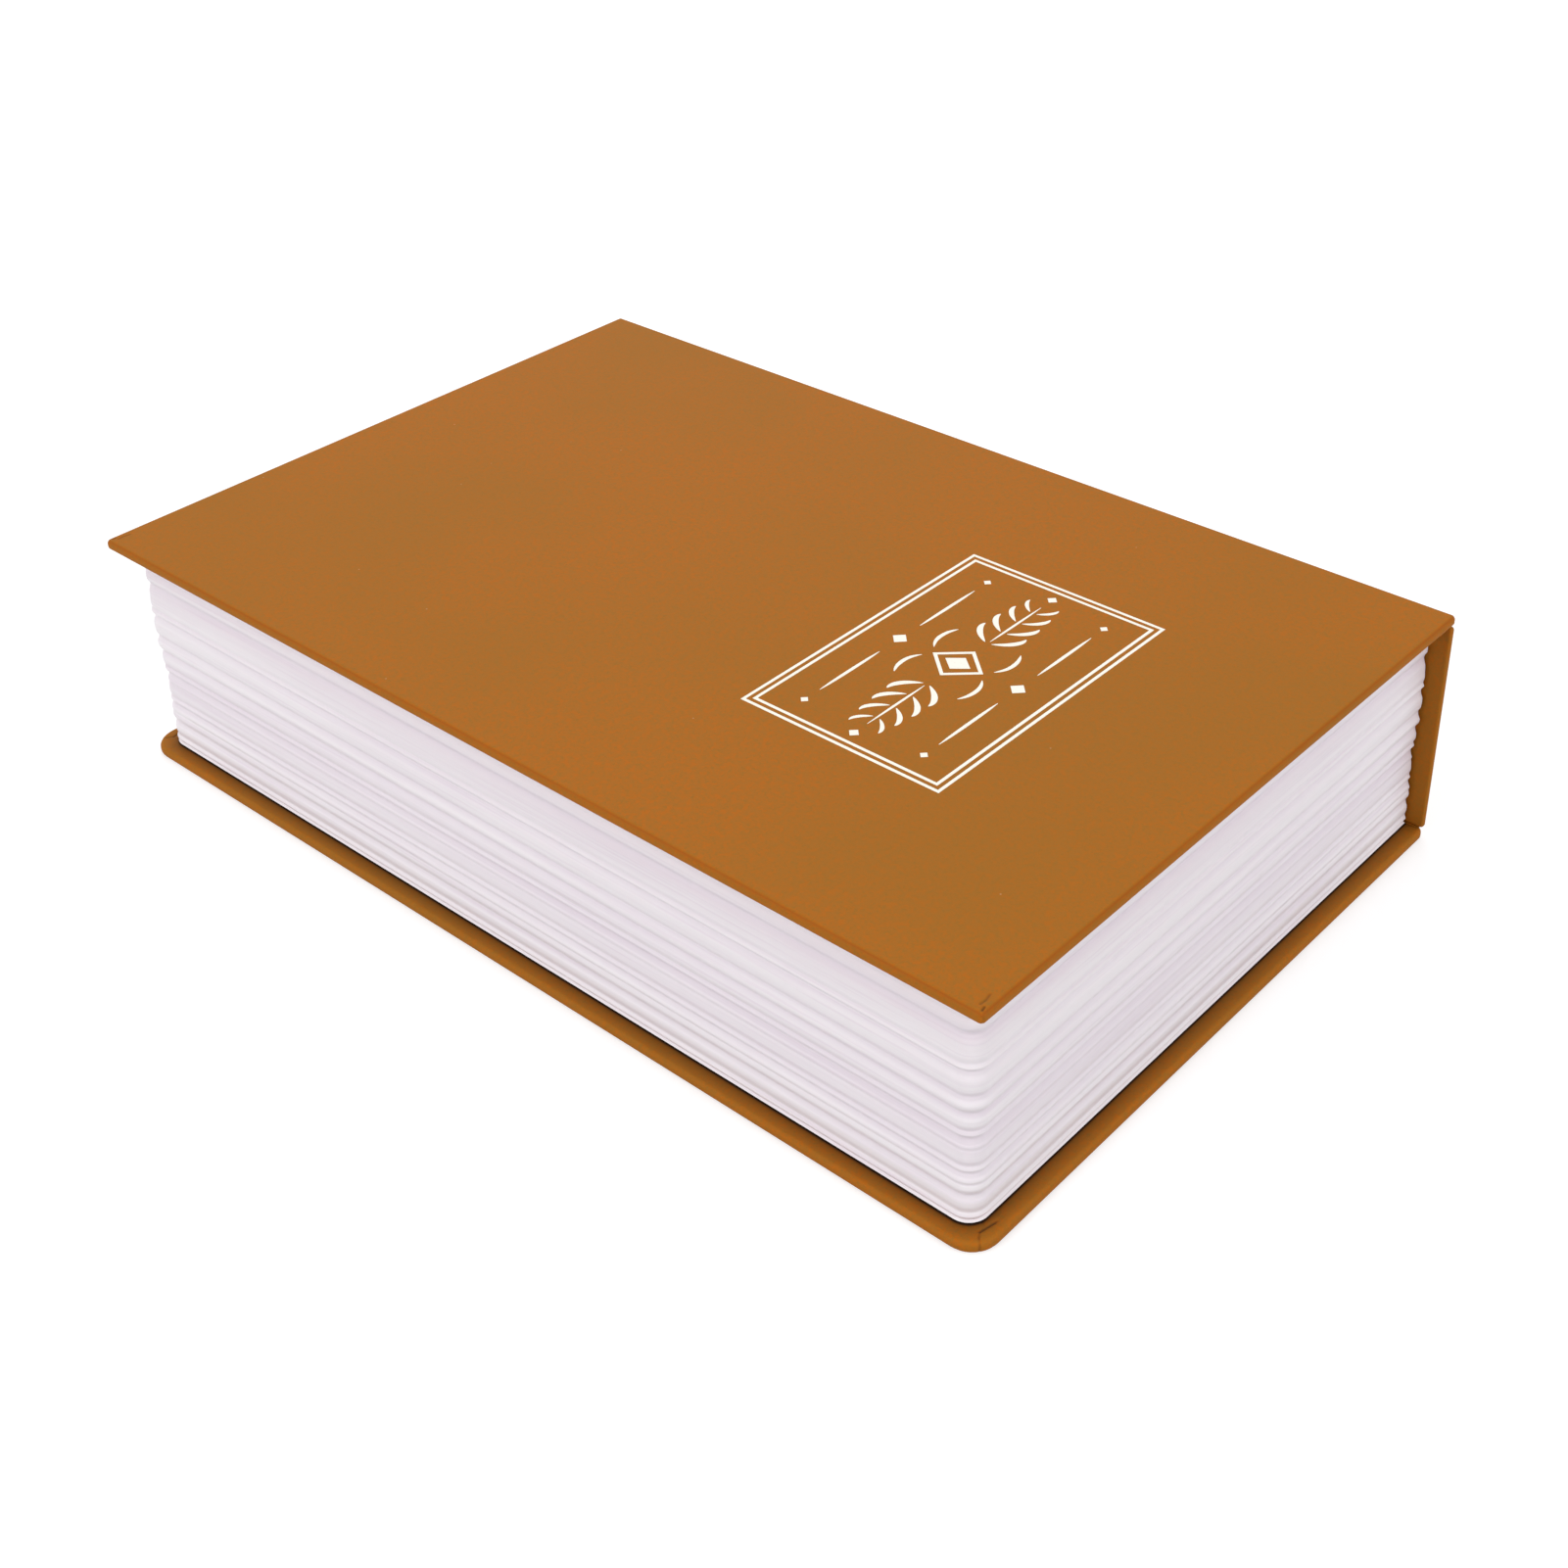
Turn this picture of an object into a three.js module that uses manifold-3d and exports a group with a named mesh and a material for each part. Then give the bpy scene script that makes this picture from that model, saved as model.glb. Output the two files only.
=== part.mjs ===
// A book-shaped safe. A hardback cover opens on two creases round a moulded block
// of false pages, and a steel box with a hinged, locking lid stands inside the block.
// Millimetres, +Z up. The book lies on its back cover, with the origin under the
// middle of it: +X points to the fore-edge, +Y to the head, and the spine is at -X.
import * as THREE from "three";
import { mergeVertices } from "three/addons/utils/BufferGeometryUtils.js";
import Module from "manifold-3d";

const wasm = await Module();
wasm.setup();

// The closed book
const bookWidth = 155;
const bookLength = 240;
const bookHeight = 55;

// Covers and spine: grey board wrapped in paper, with a lining on the inner face
const boardThickness = 1.8;
const spineBoardThickness = 1;
const paperThickness = 0.25;
const glueGap = 0.05;
const creaseCornerRadius = 0.7;
const frontForeCornerRadius = 1.2;
const backForeCornerRadius = 6;
const coverEdgeRadius = 0.9;
const spineEdgeRadius = 0.6;
const turnInWidth = 15;
const spineTurnInWidth = 9;
const liningThickness = 0.3;
const liningMargin = 5;
const creaseGap = 0.3;
const leastRadius = 0.1;

// Page block: a moulded frame with two walls, a deck and ribs, open underneath
const foreOverhang = 3;
const endOverhang = 3.3;
const spineClearance = 0.3;
const closingGap = 0.5;
const pageWall = 1.9;
const deckThickness = 2;
const innerWall = 2;
const foreBand = 10;
const endBand = 8.5;
const spineBand = 9;
const foreCornerRadius = 4.5;
const openingCornerRadius = 4;
const ribThickness = 1.6;
const ribRise = 1;
const ribsPerSide = 3;
const ribsPerEnd = 2;

// The page edge from the bottom up: each pair is a share of the block's height and a
// share of the ridge depth, from 0 on the proudest leaf to 1 in the deepest groove
const ridgeDepth = 1.1;
const ridgeShares = [
  [0, 0.35], [0.0031, 0.2], [0.0092, 0.5], [0.0184, 0.34], [0.0286, 0.16], [0.0388, 0.3],
  [0.047, 0.42], [0.0592, 0.34], [0.0695, 0.26], [0.0858, 0.23], [0.096, 0.28],
  [0.1062, 0.45], [0.1246, 0.59], [0.1348, 0.49], [0.143, 0.32], [0.1553, 0.23],
  [0.1675, 0.29], [0.1777, 0.37], [0.1839, 0.31], [0.19, 0.25], [0.1982, 0.33],
  [0.2084, 0.52], [0.2247, 0.65], [0.2329, 0.56], [0.2421, 0.4], [0.2492, 0.48],
  [0.2594, 0.62], [0.2697, 0.54], [0.2799, 0.46], [0.3146, 0.52], [0.3248, 0.59],
  [0.332, 0.65], [0.3391, 0.6], [0.3463, 0.56], [0.3575, 0.74], [0.38, 0.92], [0.3922, 0.8],
  [0.4004, 0.55], [0.4065, 0.46], [0.4127, 0.52], [0.4249, 0.65], [0.4372, 0.5],
  [0.4535, 0.38], [0.4678, 0.4], [0.4821, 0.56], [0.5005, 0.72], [0.5107, 0.64],
  [0.5189, 0.43], [0.5291, 0.25], [0.5414, 0.19], [0.5536, 0.3], [0.5659, 0.49],
  [0.5822, 0.6], [0.5924, 0.49], [0.6006, 0.33], [0.6129, 0.24], [0.6333, 0.22],
  [0.6517, 0.25], [0.6619, 0.37], [0.6762, 0.57], [0.6905, 0.63], [0.6987, 0.54],
  [0.7068, 0.31], [0.712, 0.22], [0.7191, 0.32], [0.7303, 0.47], [0.7395, 0.4],
  [0.7497, 0.34], [0.7865, 0.45], [0.811, 0.52], [0.8274, 0.69], [0.8478, 0.88],
  [0.8601, 0.8], [0.8703, 0.62], [0.8784, 0.5], [0.8887, 0.48], [0.9009, 0.52],
  [0.9111, 0.6], [0.9193, 0.68], [0.9275, 0.61], [0.9346, 0.63], [0.9418, 0.71],
  [0.952, 0.6], [0.9642, 0.42], [0.9826, 0.3], [0.9949, 0.36], [1, 0.6],
];

// Steel box and lid: folded sheet
const sheet = 0.8;
const boxClearance = 3;
const boxCornerRadius = 3;
const lidRecess = 2;
const lidGap = 0.4;
const rimDepth = 7;

// Hinge: knuckles curled from the box and the lid in turn, round one rod
const rodRadius = 1.25;
const rodClearance = 0.15;
const rodChamfer = 0.3;
const rodStandOut = 0.6;
const knuckleCount = 7;
const knuckleGap = 0.5;
const hingeInset = 10;
const curlClearance = 0.5;
const curlOpening = Math.PI / 12;

// Cam lock in the lid
const lockInset = 20;
const barrelRadius = 6;
const barrelLength = 16;
const barrelFlat = 5.3;
const headRadius = 8;
const headHeight = 1.2;
const headChamfer = 0.4;
const plugRadius = 4.5;
const plugHeadRadius = 5.2;
const plugHeadHeight = 1;
const plugRecess = 0.2;
const turnClearance = 0.15;
const keywayWidth = 1.2;
const keywayLength = 6.4;
const keywayDepth = 8;
const postWidth = 5;
const camThickness = 1.6;
const camWidth = 12;
const camPastWall = 0.5;
const camGap = 0.3;
const slotClearance = 0.7;
const nutWidth = 14;
const nutHeight = 3.5;
const washerRadius = 8.2;
const washerThickness = 0.8;
const seatGap = 0.05;
const screwRadius = 1.5;
const screwLength = 6;
const screwHeadRadius = 3.2;
const screwHeadHeight = 1.4;

// Rivets that hold the box in the page block
const rivetRise = 22;
const rivetRadius = 1.6;
const rivetHeadRadius = 3;
const rivetHeadHeight = 1;
const rivetTailRadius = 2.6;
const rivetTailHeight = 1.1;
const rivetClearance = 0.15;
const padRadius = 4.5;
const padGap = 0.3;

// Counts of facets, and one overrun for every cut
const cornerSteps = 3;
const edgeSteps = 3;
const pageCornerSteps = 8;
const roundSteps = 24;
const smallRoundSteps = 12;
const curlSteps = 16;
const overrun = 5;

// Heights and places that follow from the sizes
const wrapThickness = 2 * (paperThickness + glueGap);
const coverThickness = boardThickness + wrapThickness;
const spineThickness = spineBoardThickness + wrapThickness;
const liningRise = glueGap + liningThickness;
const floorZ = coverThickness + liningRise + glueGap;
const blockTop = bookHeight - coverThickness - liningRise - closingGap;
const blockHeight = blockTop - floorZ;
const blockSpineX = -bookWidth / 2 + spineThickness + liningRise + spineClearance;
const blockForeX = bookWidth / 2 - foreOverhang;
const blockHalfLength = bookLength / 2 - endOverhang;
const openingSpineX = blockSpineX + spineBand;
const openingForeX = blockForeX - foreBand;
const openingHalfLength = blockHalfLength - endBand;

const boxRearX = openingSpineX + boxClearance;
const boxFrontX = openingForeX - boxClearance;
const boxHalfLength = openingHalfLength - boxClearance;
const lidTop = blockTop - lidRecess;
const lidUnder = lidTop - sheet;
const boxTop = lidUnder - lidGap;

const curlInner = rodRadius + rodClearance;
const curlOuter = curlInner + sheet;
const rodX = boxRearX + curlOuter;
const rodZ = lidTop - curlOuter;
const hingeHalfLength = boxHalfLength - hingeInset;
const knucklePitch = (2 * hingeHalfLength) / knuckleCount;
const lidRearX = rodX + curlOuter + curlClearance;
const notchZ = rodZ - curlOuter - curlClearance;

const lockX = boxFrontX - lockInset;
const barrelBottom = lidTop - barrelLength;
const camTop = barrelBottom - camGap;
const camBottom = camTop - camThickness;
const camReach = lockInset + camPastWall;

// Materials
const finish = (color, roughness, metalness) =>
  new THREE.MeshStandardMaterial({ color, roughness, metalness });
const coverPaper = finish(0xad6c2f, 0.75, 0);
const greyBoard = finish(0x9a9184, 0.95, 0);
const liningPaper = finish(0x2b2724, 0.85, 0);
const pagePlastic = finish(0xe2dce2, 0.45, 0);
const blackSteel = finish(0x26272a, 0.5, 0.7);
const plainSteel = finish(0xb4b6b9, 0.35, 1);
const plating = finish(0xc9ccd0, 0.2, 1);

// A closed geometry as a solid that can be joined and cut
function solid(geometry) {
  const plain = geometry.clone();
  plain.deleteAttribute("normal");
  plain.deleteAttribute("uv");
  const merged = mergeVertices(plain);
  const corners = [];
  for (let i = 0; i < merged.index.count; i += 3) {
    const [a, b, c] = merged.index.array.subarray(i, i + 3);
    if (a !== b && b !== c && c !== a) corners.push(a, b, c);
  }
  return new wasm.Manifold(
    new wasm.Mesh({
      numProp: 3,
      vertProperties: merged.attributes.position.array,
      triVerts: new Uint32Array(corners),
    }),
  );
}

function place(group, name, body, material) {
  const mesh = body.getMesh();
  const geometry = new THREE.BufferGeometry();
  geometry.setAttribute("position", new THREE.BufferAttribute(mesh.vertProperties, 3));
  geometry.setIndex(new THREE.BufferAttribute(mesh.triVerts, 1));
  geometry.computeVertexNormals();
  const piece = new THREE.Mesh(geometry, material);
  piece.name = name;
  group.add(piece);
  return piece;
}

const union = (bodies) => bodies.reduce((whole, body) => whole.add(body));

// Turns a shape's own Y up to +Z, so that its depth or axis runs along -Y or +Z
const standUp = new THREE.Matrix4().set(1, 0, 0, 0, 0, 0, -1, 0, 0, 1, 0, 0, 0, 0, 0, 1);

function block(x0, x1, y0, y1, z0, z1) {
  const geometry = new THREE.BoxGeometry(x1 - x0, y1 - y0, z1 - z0);
  return solid(geometry.translate((x0 + x1) / 2, (y0 + y1) / 2, (z0 + z1) / 2));
}

// A cylinder along Z between two heights
function post(radius, x, y, z0, z1, steps) {
  const geometry = new THREE.CylinderGeometry(radius, radius, z1 - z0, steps);
  return solid(geometry.applyMatrix4(standUp).translate(x, y, (z0 + z1) / 2));
}

// A solid of revolution about Z from [radius, height] pairs, up the outside first
function turned(pairs, steps) {
  const points = pairs.map(([radius, height]) => new THREE.Vector2(radius, height));
  return solid(new THREE.LatheGeometry(points, steps).applyMatrix4(standUp));
}

function roundedOutline(x0, x1, y0, y1, radius, farRadius = radius) {
  const shape = new THREE.Shape();
  shape.absarc(x1 - farRadius, y0 + farRadius, farRadius, -Math.PI / 2, 0);
  shape.absarc(x1 - farRadius, y1 - farRadius, farRadius, 0, Math.PI / 2);
  shape.absarc(x0 + radius, y1 - radius, radius, Math.PI / 2, Math.PI);
  shape.absarc(x0 + radius, y0 + radius, radius, Math.PI, 1.5 * Math.PI);
  return shape;
}

function prism(shape, z0, z1, steps) {
  const options = { depth: z1 - z0, bevelEnabled: false, curveSegments: steps };
  return solid(new THREE.ExtrudeGeometry(shape, options).translate(0, 0, z0));
}

// A slab centred on Z with rounded edges and corners. The radii are those of its two
// corners at -X and of its two corners at +X.
function softSlab(width, z0, z1, inset, edgeRadius, radii, steps) {
  const edge = Math.max(edgeRadius - inset, leastRadius);
  const [corner, foreCorner] = radii.map((r) => Math.max(r - inset - edge, leastRadius));
  const halfWidth = width / 2 - inset - edge;
  const halfLength = bookLength / 2 - inset - edge;
  const shape = roundedOutline(
    -halfWidth, halfWidth, -halfLength, halfLength, corner, foreCorner,
  );
  const options = {
    depth: z1 - z0 - 2 * edge,
    bevelSize: edge,
    bevelThickness: edge,
    bevelSegments: steps,
    curveSegments: cornerSteps,
  };
  return solid(new THREE.ExtrudeGeometry(shape, options).translate(0, 0, z0 + edge));
}

// One board with its paper wrap and lining, lying with the inner face up at Z 0
function cover(name, width, thickness, turnIn, edgeRadius, radii) {
  const group = new THREE.Group();
  const halfWidth = width / 2;
  const halfLength = bookLength / 2;
  const boardInset = paperThickness + glueGap;

  const board = softSlab(
    width, boardInset - thickness, -boardInset, boardInset, edgeRadius, radii, 1,
  );
  place(group, name + "_board", board, greyBoard);

  const windowX = halfWidth - turnIn;
  const windowY = halfLength - turnIn;
  const cavity = softSlab(
    width, paperThickness - thickness, -paperThickness, paperThickness,
    edgeRadius, radii, 1,
  );
  const wrap = softSlab(width, -thickness, 0, 0, edgeRadius, radii, edgeSteps)
    .subtract(cavity)
    .subtract(block(-windowX, windowX, -windowY, windowY, -thickness / 2, overrun));
  place(group, name + "_wrap", wrap, coverPaper);

  const insideX = windowX - glueGap;
  const insideY = windowY - glueGap;
  const liningX = halfWidth - liningMargin;
  const liningY = halfLength - liningMargin;
  const lining = block(
    -insideX, insideX, -insideY, insideY, -paperThickness, liningRise,
  ).add(block(-liningX, liningX, -liningY, liningY, glueGap, liningRise));
  place(group, name + "_lining", lining, liningPaper);
  return group;
}

// The block's plan at one depth below the proudest leaf: sharp corners beside the
// spine and rounded ones at the fore-edge
function pageOutline(depth) {
  const half = blockHalfLength - depth;
  const radius = foreCornerRadius - depth;
  const arcX = blockForeX - foreCornerRadius;
  const arcY = blockHalfLength - foreCornerRadius;
  const points = [[blockSpineX, -half]];
  for (const side of [-1, 1]) {
    for (let step = 0; step <= pageCornerSteps; step++) {
      const turn = ((step / pageCornerSteps + (side - 1) / 2) * Math.PI) / 2;
      points.push([arcX + radius * Math.cos(turn), side * arcY + radius * Math.sin(turn)]);
    }
  }
  points.push([blockSpineX, half]);
  return points;
}

// The outside of the page block, lofted through the ridge profile
function ridgedBody() {
  const rings = ridgeShares.map(([rise, depth]) =>
    pageOutline(depth * ridgeDepth).map(([x, y]) => [x, y, floorZ + rise * blockHeight]),
  );
  const count = rings[0].length;
  const last = (rings.length - 1) * count;
  const corners = [];
  for (let level = 0; level < rings.length - 1; level++) {
    for (let k = 0; k < count; k++) {
      const low = level * count + k;
      const next = level * count + ((k + 1) % count);
      corners.push(low, next, next + count, low, next + count, low + count);
    }
  }
  for (let k = 1; k < count - 1; k++) {
    corners.push(0, k + 1, k, last, last + k, last + k + 1);
  }
  const geometry = new THREE.BufferGeometry();
  geometry.setAttribute("position", new THREE.Float32BufferAttribute(rings.flat(2), 3));
  geometry.setIndex(corners);
  return solid(geometry);
}

// Places spread evenly between two ends, one for each rib
function ribPlaces(low, high, count) {
  const pitch = (high - low) / (count + 1);
  return Array.from({ length: count }, (_, i) => low + pitch * (i + 1));
}

const hollowSpineX = blockSpineX + pageWall;
const hollowForeX = blockForeX - ridgeDepth - pageWall;
const hollowHalfLength = blockHalfLength - ridgeDepth - pageWall;
const sideRibs = ribPlaces(-hollowHalfLength, hollowHalfLength, ribsPerSide);
const endRibs = ribPlaces(hollowSpineX, hollowForeX, ribsPerEnd);

// Each rivet stands midway between two ribs: its place on the box wall and its turn
// about Z, from a rivet that points along +Y
const sideRivetY = hollowHalfLength - hollowHalfLength / (ribsPerSide + 1);
const endRivetPitch = (hollowForeX - hollowSpineX) / (ribsPerEnd + 1);
const endRivetX = hollowSpineX + endRivetPitch * (Math.floor(ribsPerEnd / 2) + 1 / 2);
const rivetPlaces = [
  [boxFrontX, sideRivetY, -Math.PI / 2],
  [boxFrontX, -sideRivetY, -Math.PI / 2],
  [boxRearX, sideRivetY, Math.PI / 2],
  [boxRearX, -sideRivetY, Math.PI / 2],
  [endRivetX, boxHalfLength, 0],
  [endRivetX, -boxHalfLength, Math.PI],
];
const rivetZ = floorZ + rivetRise;

// A cylinder that points out through a box wall at a rivet's place
function outward([x, y, turn], radius, from, to) {
  const geometry = new THREE.CylinderGeometry(radius, radius, to - from, smallRoundSteps);
  return solid(geometry.translate(0, (from + to) / 2, 0).rotateZ(turn).translate(x, y, rivetZ));
}

function pageBlock() {
  const deckUnder = blockTop - deckThickness;
  const hollow = prism(
    roundedOutline(
      hollowSpineX, hollowForeX, -hollowHalfLength, hollowHalfLength, openingCornerRadius,
    ),
    floorZ - overrun, deckUnder, cornerSteps,
  );
  const inner = prism(
    roundedOutline(
      openingSpineX - innerWall, openingForeX + innerWall,
      -openingHalfLength - innerWall, openingHalfLength + innerWall,
      openingCornerRadius + innerWall,
    ),
    floorZ, blockTop - deckThickness / 2, cornerSteps,
  );
  const opening = prism(
    roundedOutline(
      openingSpineX, openingForeX, -openingHalfLength, openingHalfLength, openingCornerRadius,
    ),
    floorZ - overrun, blockTop + overrun, cornerSteps,
  );
  const ribBottom = floorZ + ribRise;
  const ribTop = blockTop - deckThickness / 2;
  const halfRib = ribThickness / 2;
  const ribs = [
    ...sideRibs.flatMap((y) => [
      block(
        hollowSpineX - pageWall / 2, openingSpineX - innerWall / 2,
        y - halfRib, y + halfRib, ribBottom, ribTop,
      ),
      block(
        openingForeX + innerWall / 2, hollowForeX + pageWall / 2,
        y - halfRib, y + halfRib, ribBottom, ribTop,
      ),
    ]),
    ...endRibs.flatMap((x) =>
      [-1, 1].map((side) => {
        const near = side * (openingHalfLength + innerWall / 2);
        const far = side * (hollowHalfLength + pageWall / 2);
        return block(
          x - halfRib, x + halfRib, Math.min(near, far), Math.max(near, far),
          ribBottom, ribTop,
        );
      }),
    ),
  ];
  const pads = rivetPlaces.map((at) =>
    outward(at, padRadius, padGap, boxClearance + innerWall / 2),
  );
  const holes = rivetPlaces.map((at) =>
    outward(at, rivetRadius + rivetClearance, -overrun, boxClearance + innerWall + seatGap),
  );
  return union([ridgedBody().subtract(hollow), inner, ...ribs])
    .subtract(opening)
    .add(union(pads))
    .subtract(union(holes));
}

// Which knuckles belong to the box (parity 0) and which to the lid (parity 1), as
// [low, high] stretches along Y
function knuckles(parity) {
  const stretches = [];
  for (let i = parity; i < knuckleCount; i += 2) {
    const low = -hingeHalfLength + i * knucklePitch;
    stretches.push([low, low + knucklePitch]);
  }
  return stretches;
}

// One curled knuckle: a profile in X and Z, drawn out along Y
function curl(shape, [low, high]) {
  const start = low + knuckleGap / 2;
  const end = high - knuckleGap / 2;
  const options = { depth: end - start, bevelEnabled: false, curveSegments: curlSteps };
  const geometry = new THREE.ExtrudeGeometry(shape, options);
  return solid(geometry.applyMatrix4(standUp).translate(0, end, 0));
}

// The box wall rises outside the rod and curls in over it
function boxCurlShape(strapBottom) {
  const shape = new THREE.Shape();
  const end = -Math.PI / 2 + curlOpening;
  shape.moveTo(boxRearX, strapBottom);
  shape.lineTo(boxRearX, rodZ);
  shape.absarc(rodX, rodZ, curlOuter, Math.PI, end, true);
  shape.absarc(rodX, rodZ, curlInner, end, Math.PI, false);
  shape.lineTo(boxRearX + sheet, strapBottom);
  return shape;
}

// The lid plate runs over the rod and curls down round it
function lidCurlShape() {
  const shape = new THREE.Shape();
  const end = 2 * Math.PI - curlOpening;
  const strapX = lidRearX + sheet;
  shape.moveTo(strapX, lidTop);
  shape.lineTo(rodX, lidTop);
  shape.absarc(rodX, rodZ, curlOuter, Math.PI / 2, end, false);
  shape.absarc(rodX, rodZ, curlInner, end, Math.PI / 2, true);
  shape.lineTo(strapX, lidUnder);
  return shape;
}

function steelBox() {
  const wallIn = boxRearX + sheet;
  const shell = prism(
    roundedOutline(boxRearX, boxFrontX, -boxHalfLength, boxHalfLength, boxCornerRadius),
    floorZ, boxTop, cornerSteps,
  );
  const inside = prism(
    roundedOutline(
      wallIn, boxFrontX - sheet, sheet - boxHalfLength, boxHalfLength - sheet,
      Math.max(boxCornerRadius - sheet, leastRadius),
    ),
    floorZ + sheet, boxTop + overrun, cornerSteps,
  );
  const aboveRod = block(
    boxRearX - overrun, wallIn, -hingeHalfLength, hingeHalfLength, rodZ, boxTop + overrun,
  );
  const notches = knuckles(1).map(([low, high]) =>
    block(boxRearX - overrun, wallIn, low, high, notchZ, boxTop + overrun),
  );
  const camSide =
    Math.max(camWidth / 2, Math.sqrt(camReach ** 2 - (lockInset - sheet) ** 2)) + slotClearance;
  const camSlot = block(
    boxFrontX - 2 * sheet, boxFrontX + overrun, -camSide, camSide,
    camBottom - slotClearance, camTop + slotClearance,
  );
  const holes = rivetPlaces.map((at) =>
    outward(at, rivetRadius + rivetClearance, -2 * sheet, sheet),
  );
  const curlShape = boxCurlShape(notchZ);
  const curls = knuckles(0).map((stretch) => curl(curlShape, stretch));
  return shell
    .subtract(union([inside, aboveRod, ...notches, camSlot, ...holes]))
    .add(union(curls));
}

// The lock barrel's section, round with two flats, grown by a clearance
function barrel(grow, z0, z1) {
  const radius = barrelRadius + grow;
  const flat = barrelFlat + grow;
  const turn = Math.asin(flat / radius);
  const shape = new THREE.Shape();
  shape.absarc(0, 0, radius, -turn, turn);
  shape.absarc(0, 0, radius, Math.PI - turn, Math.PI + turn);
  return prism(shape, z0, z1, smallRoundSteps).translate(lockX, 0, 0);
}

function lidPan() {
  const wallGap = lidGap + sheet;
  const frontX = boxFrontX + wallGap;
  const halfLength = boxHalfLength + wallGap;
  const radius = boxCornerRadius + wallGap;
  const outer = roundedOutline(
    lidRearX - radius - overrun, frontX, -halfLength, halfLength, radius,
  );
  const inner = roundedOutline(
    lidRearX - radius - overrun, frontX - sheet, -halfLength + sheet, halfLength - sheet,
    radius - sheet,
  );
  const behind = block(
    lidRearX - radius - 2 * overrun, lidRearX, -bookLength, bookLength,
    lidTop - rimDepth - overrun, lidTop + overrun,
  );
  const curlShape = lidCurlShape();
  const curls = knuckles(1).map((stretch) => curl(curlShape, stretch));
  return prism(outer, lidTop - rimDepth, lidTop, cornerSteps)
    .subtract(prism(inner, lidTop - rimDepth - overrun, lidUnder, cornerSteps))
    .subtract(behind)
    .add(union(curls))
    .subtract(barrel(turnClearance, lidUnder - overrun, lidTop + overrun));
}

function lockHousing() {
  const headBottom = lidTop + seatGap;
  const headTop = lidTop + headHeight;
  const head = turned(
    [
      [0, headBottom], [headRadius, headBottom], [headRadius, headTop - headChamfer],
      [headRadius - headChamfer, headTop], [0, headTop],
    ],
    roundSteps,
  ).translate(lockX, 0, 0);
  const shoulder = headTop - plugRecess - plugHeadHeight - seatGap;
  return head
    .add(barrel(0, barrelBottom, headBottom + seatGap))
    .subtract(
      post(plugRadius + turnClearance, lockX, 0, barrelBottom - overrun, headTop, roundSteps),
    )
    .subtract(
      post(plugHeadRadius + turnClearance, lockX, 0, shoulder, headTop + overrun, roundSteps),
    );
}

function lockPlug() {
  const top = lidTop + headHeight - plugRecess;
  const headBottom = top - plugHeadHeight;
  const body = turned(
    [
      [0, barrelBottom], [plugRadius, barrelBottom], [plugRadius, headBottom],
      [plugHeadRadius, headBottom], [plugHeadRadius, top], [0, top],
    ],
    roundSteps,
  ).translate(lockX, 0, 0);
  const halfPost = postWidth / 2;
  const squarePost = block(
    lockX - halfPost, lockX + halfPost, -halfPost, halfPost, camBottom, barrelBottom + sheet,
  );
  const keyway = block(
    lockX - keywayLength / 2, lockX + keywayLength / 2, -keywayWidth / 2, keywayWidth / 2,
    top - keywayDepth, top + overrun,
  );
  const screwHole = post(
    screwRadius + turnClearance, lockX, 0, camBottom - overrun,
    camBottom + screwLength + turnClearance, smallRoundSteps,
  );
  return body.add(squarePost).subtract(keyway).subtract(screwHole);
}

// The cam points along +Y when the lock is open and along +X when it is shut
function lockCam() {
  const half = camWidth / 2;
  const turn = Math.acos(half / camReach);
  const shape = new THREE.Shape();
  shape.absarc(0, 0, half, Math.PI, 2 * Math.PI);
  shape.absarc(0, 0, camReach, turn, Math.PI - turn);
  const hole = postWidth / 2 + turnClearance;
  return prism(shape, camBottom, camTop, smallRoundSteps)
    .translate(lockX, 0, 0)
    .subtract(
      block(
        lockX - hole, lockX + hole, -hole, hole, camBottom - overrun, camTop + overrun,
      ),
    );
}

function camScrew() {
  const under = camBottom - seatGap;
  const headBottom = under - screwHeadHeight;
  return turned(
    [
      [0, headBottom], [screwHeadRadius - headChamfer, headBottom],
      [screwHeadRadius, headBottom + headChamfer], [screwHeadRadius, under],
      [screwRadius, under], [screwRadius, camBottom + screwLength],
      [0, camBottom + screwLength],
    ],
    smallRoundSteps,
  ).translate(lockX, 0, 0);
}

function lockWasher() {
  const top = lidUnder - seatGap;
  const bottom = top - washerThickness;
  return post(washerRadius, lockX, 0, bottom, top, roundSteps).subtract(
    post(
      barrelRadius + turnClearance, lockX, 0, bottom - overrun, top + overrun, roundSteps,
    ),
  );
}

function lockNut() {
  const top = lidUnder - washerThickness - 2 * seatGap;
  const bottom = top - nutHeight;
  const sides = 6;
  const cornerRadius = nutWidth / 2 / Math.cos(Math.PI / sides);
  return post(cornerRadius, lockX, 0, bottom, top, sides).subtract(
    post(
      barrelRadius + turnClearance, lockX, 0, bottom - overrun, top + overrun, roundSteps,
    ),
  );
}

function hingeRod() {
  const half = hingeHalfLength + rodStandOut;
  const points = [
    [0, -half], [rodRadius - rodChamfer, -half], [rodRadius, rodChamfer - half],
    [rodRadius, half - rodChamfer], [rodRadius - rodChamfer, half], [0, half],
  ].map(([radius, y]) => new THREE.Vector2(radius, y));
  const geometry = new THREE.LatheGeometry(points, smallRoundSteps);
  return solid(geometry.translate(rodX, 0, rodZ));
}

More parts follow.
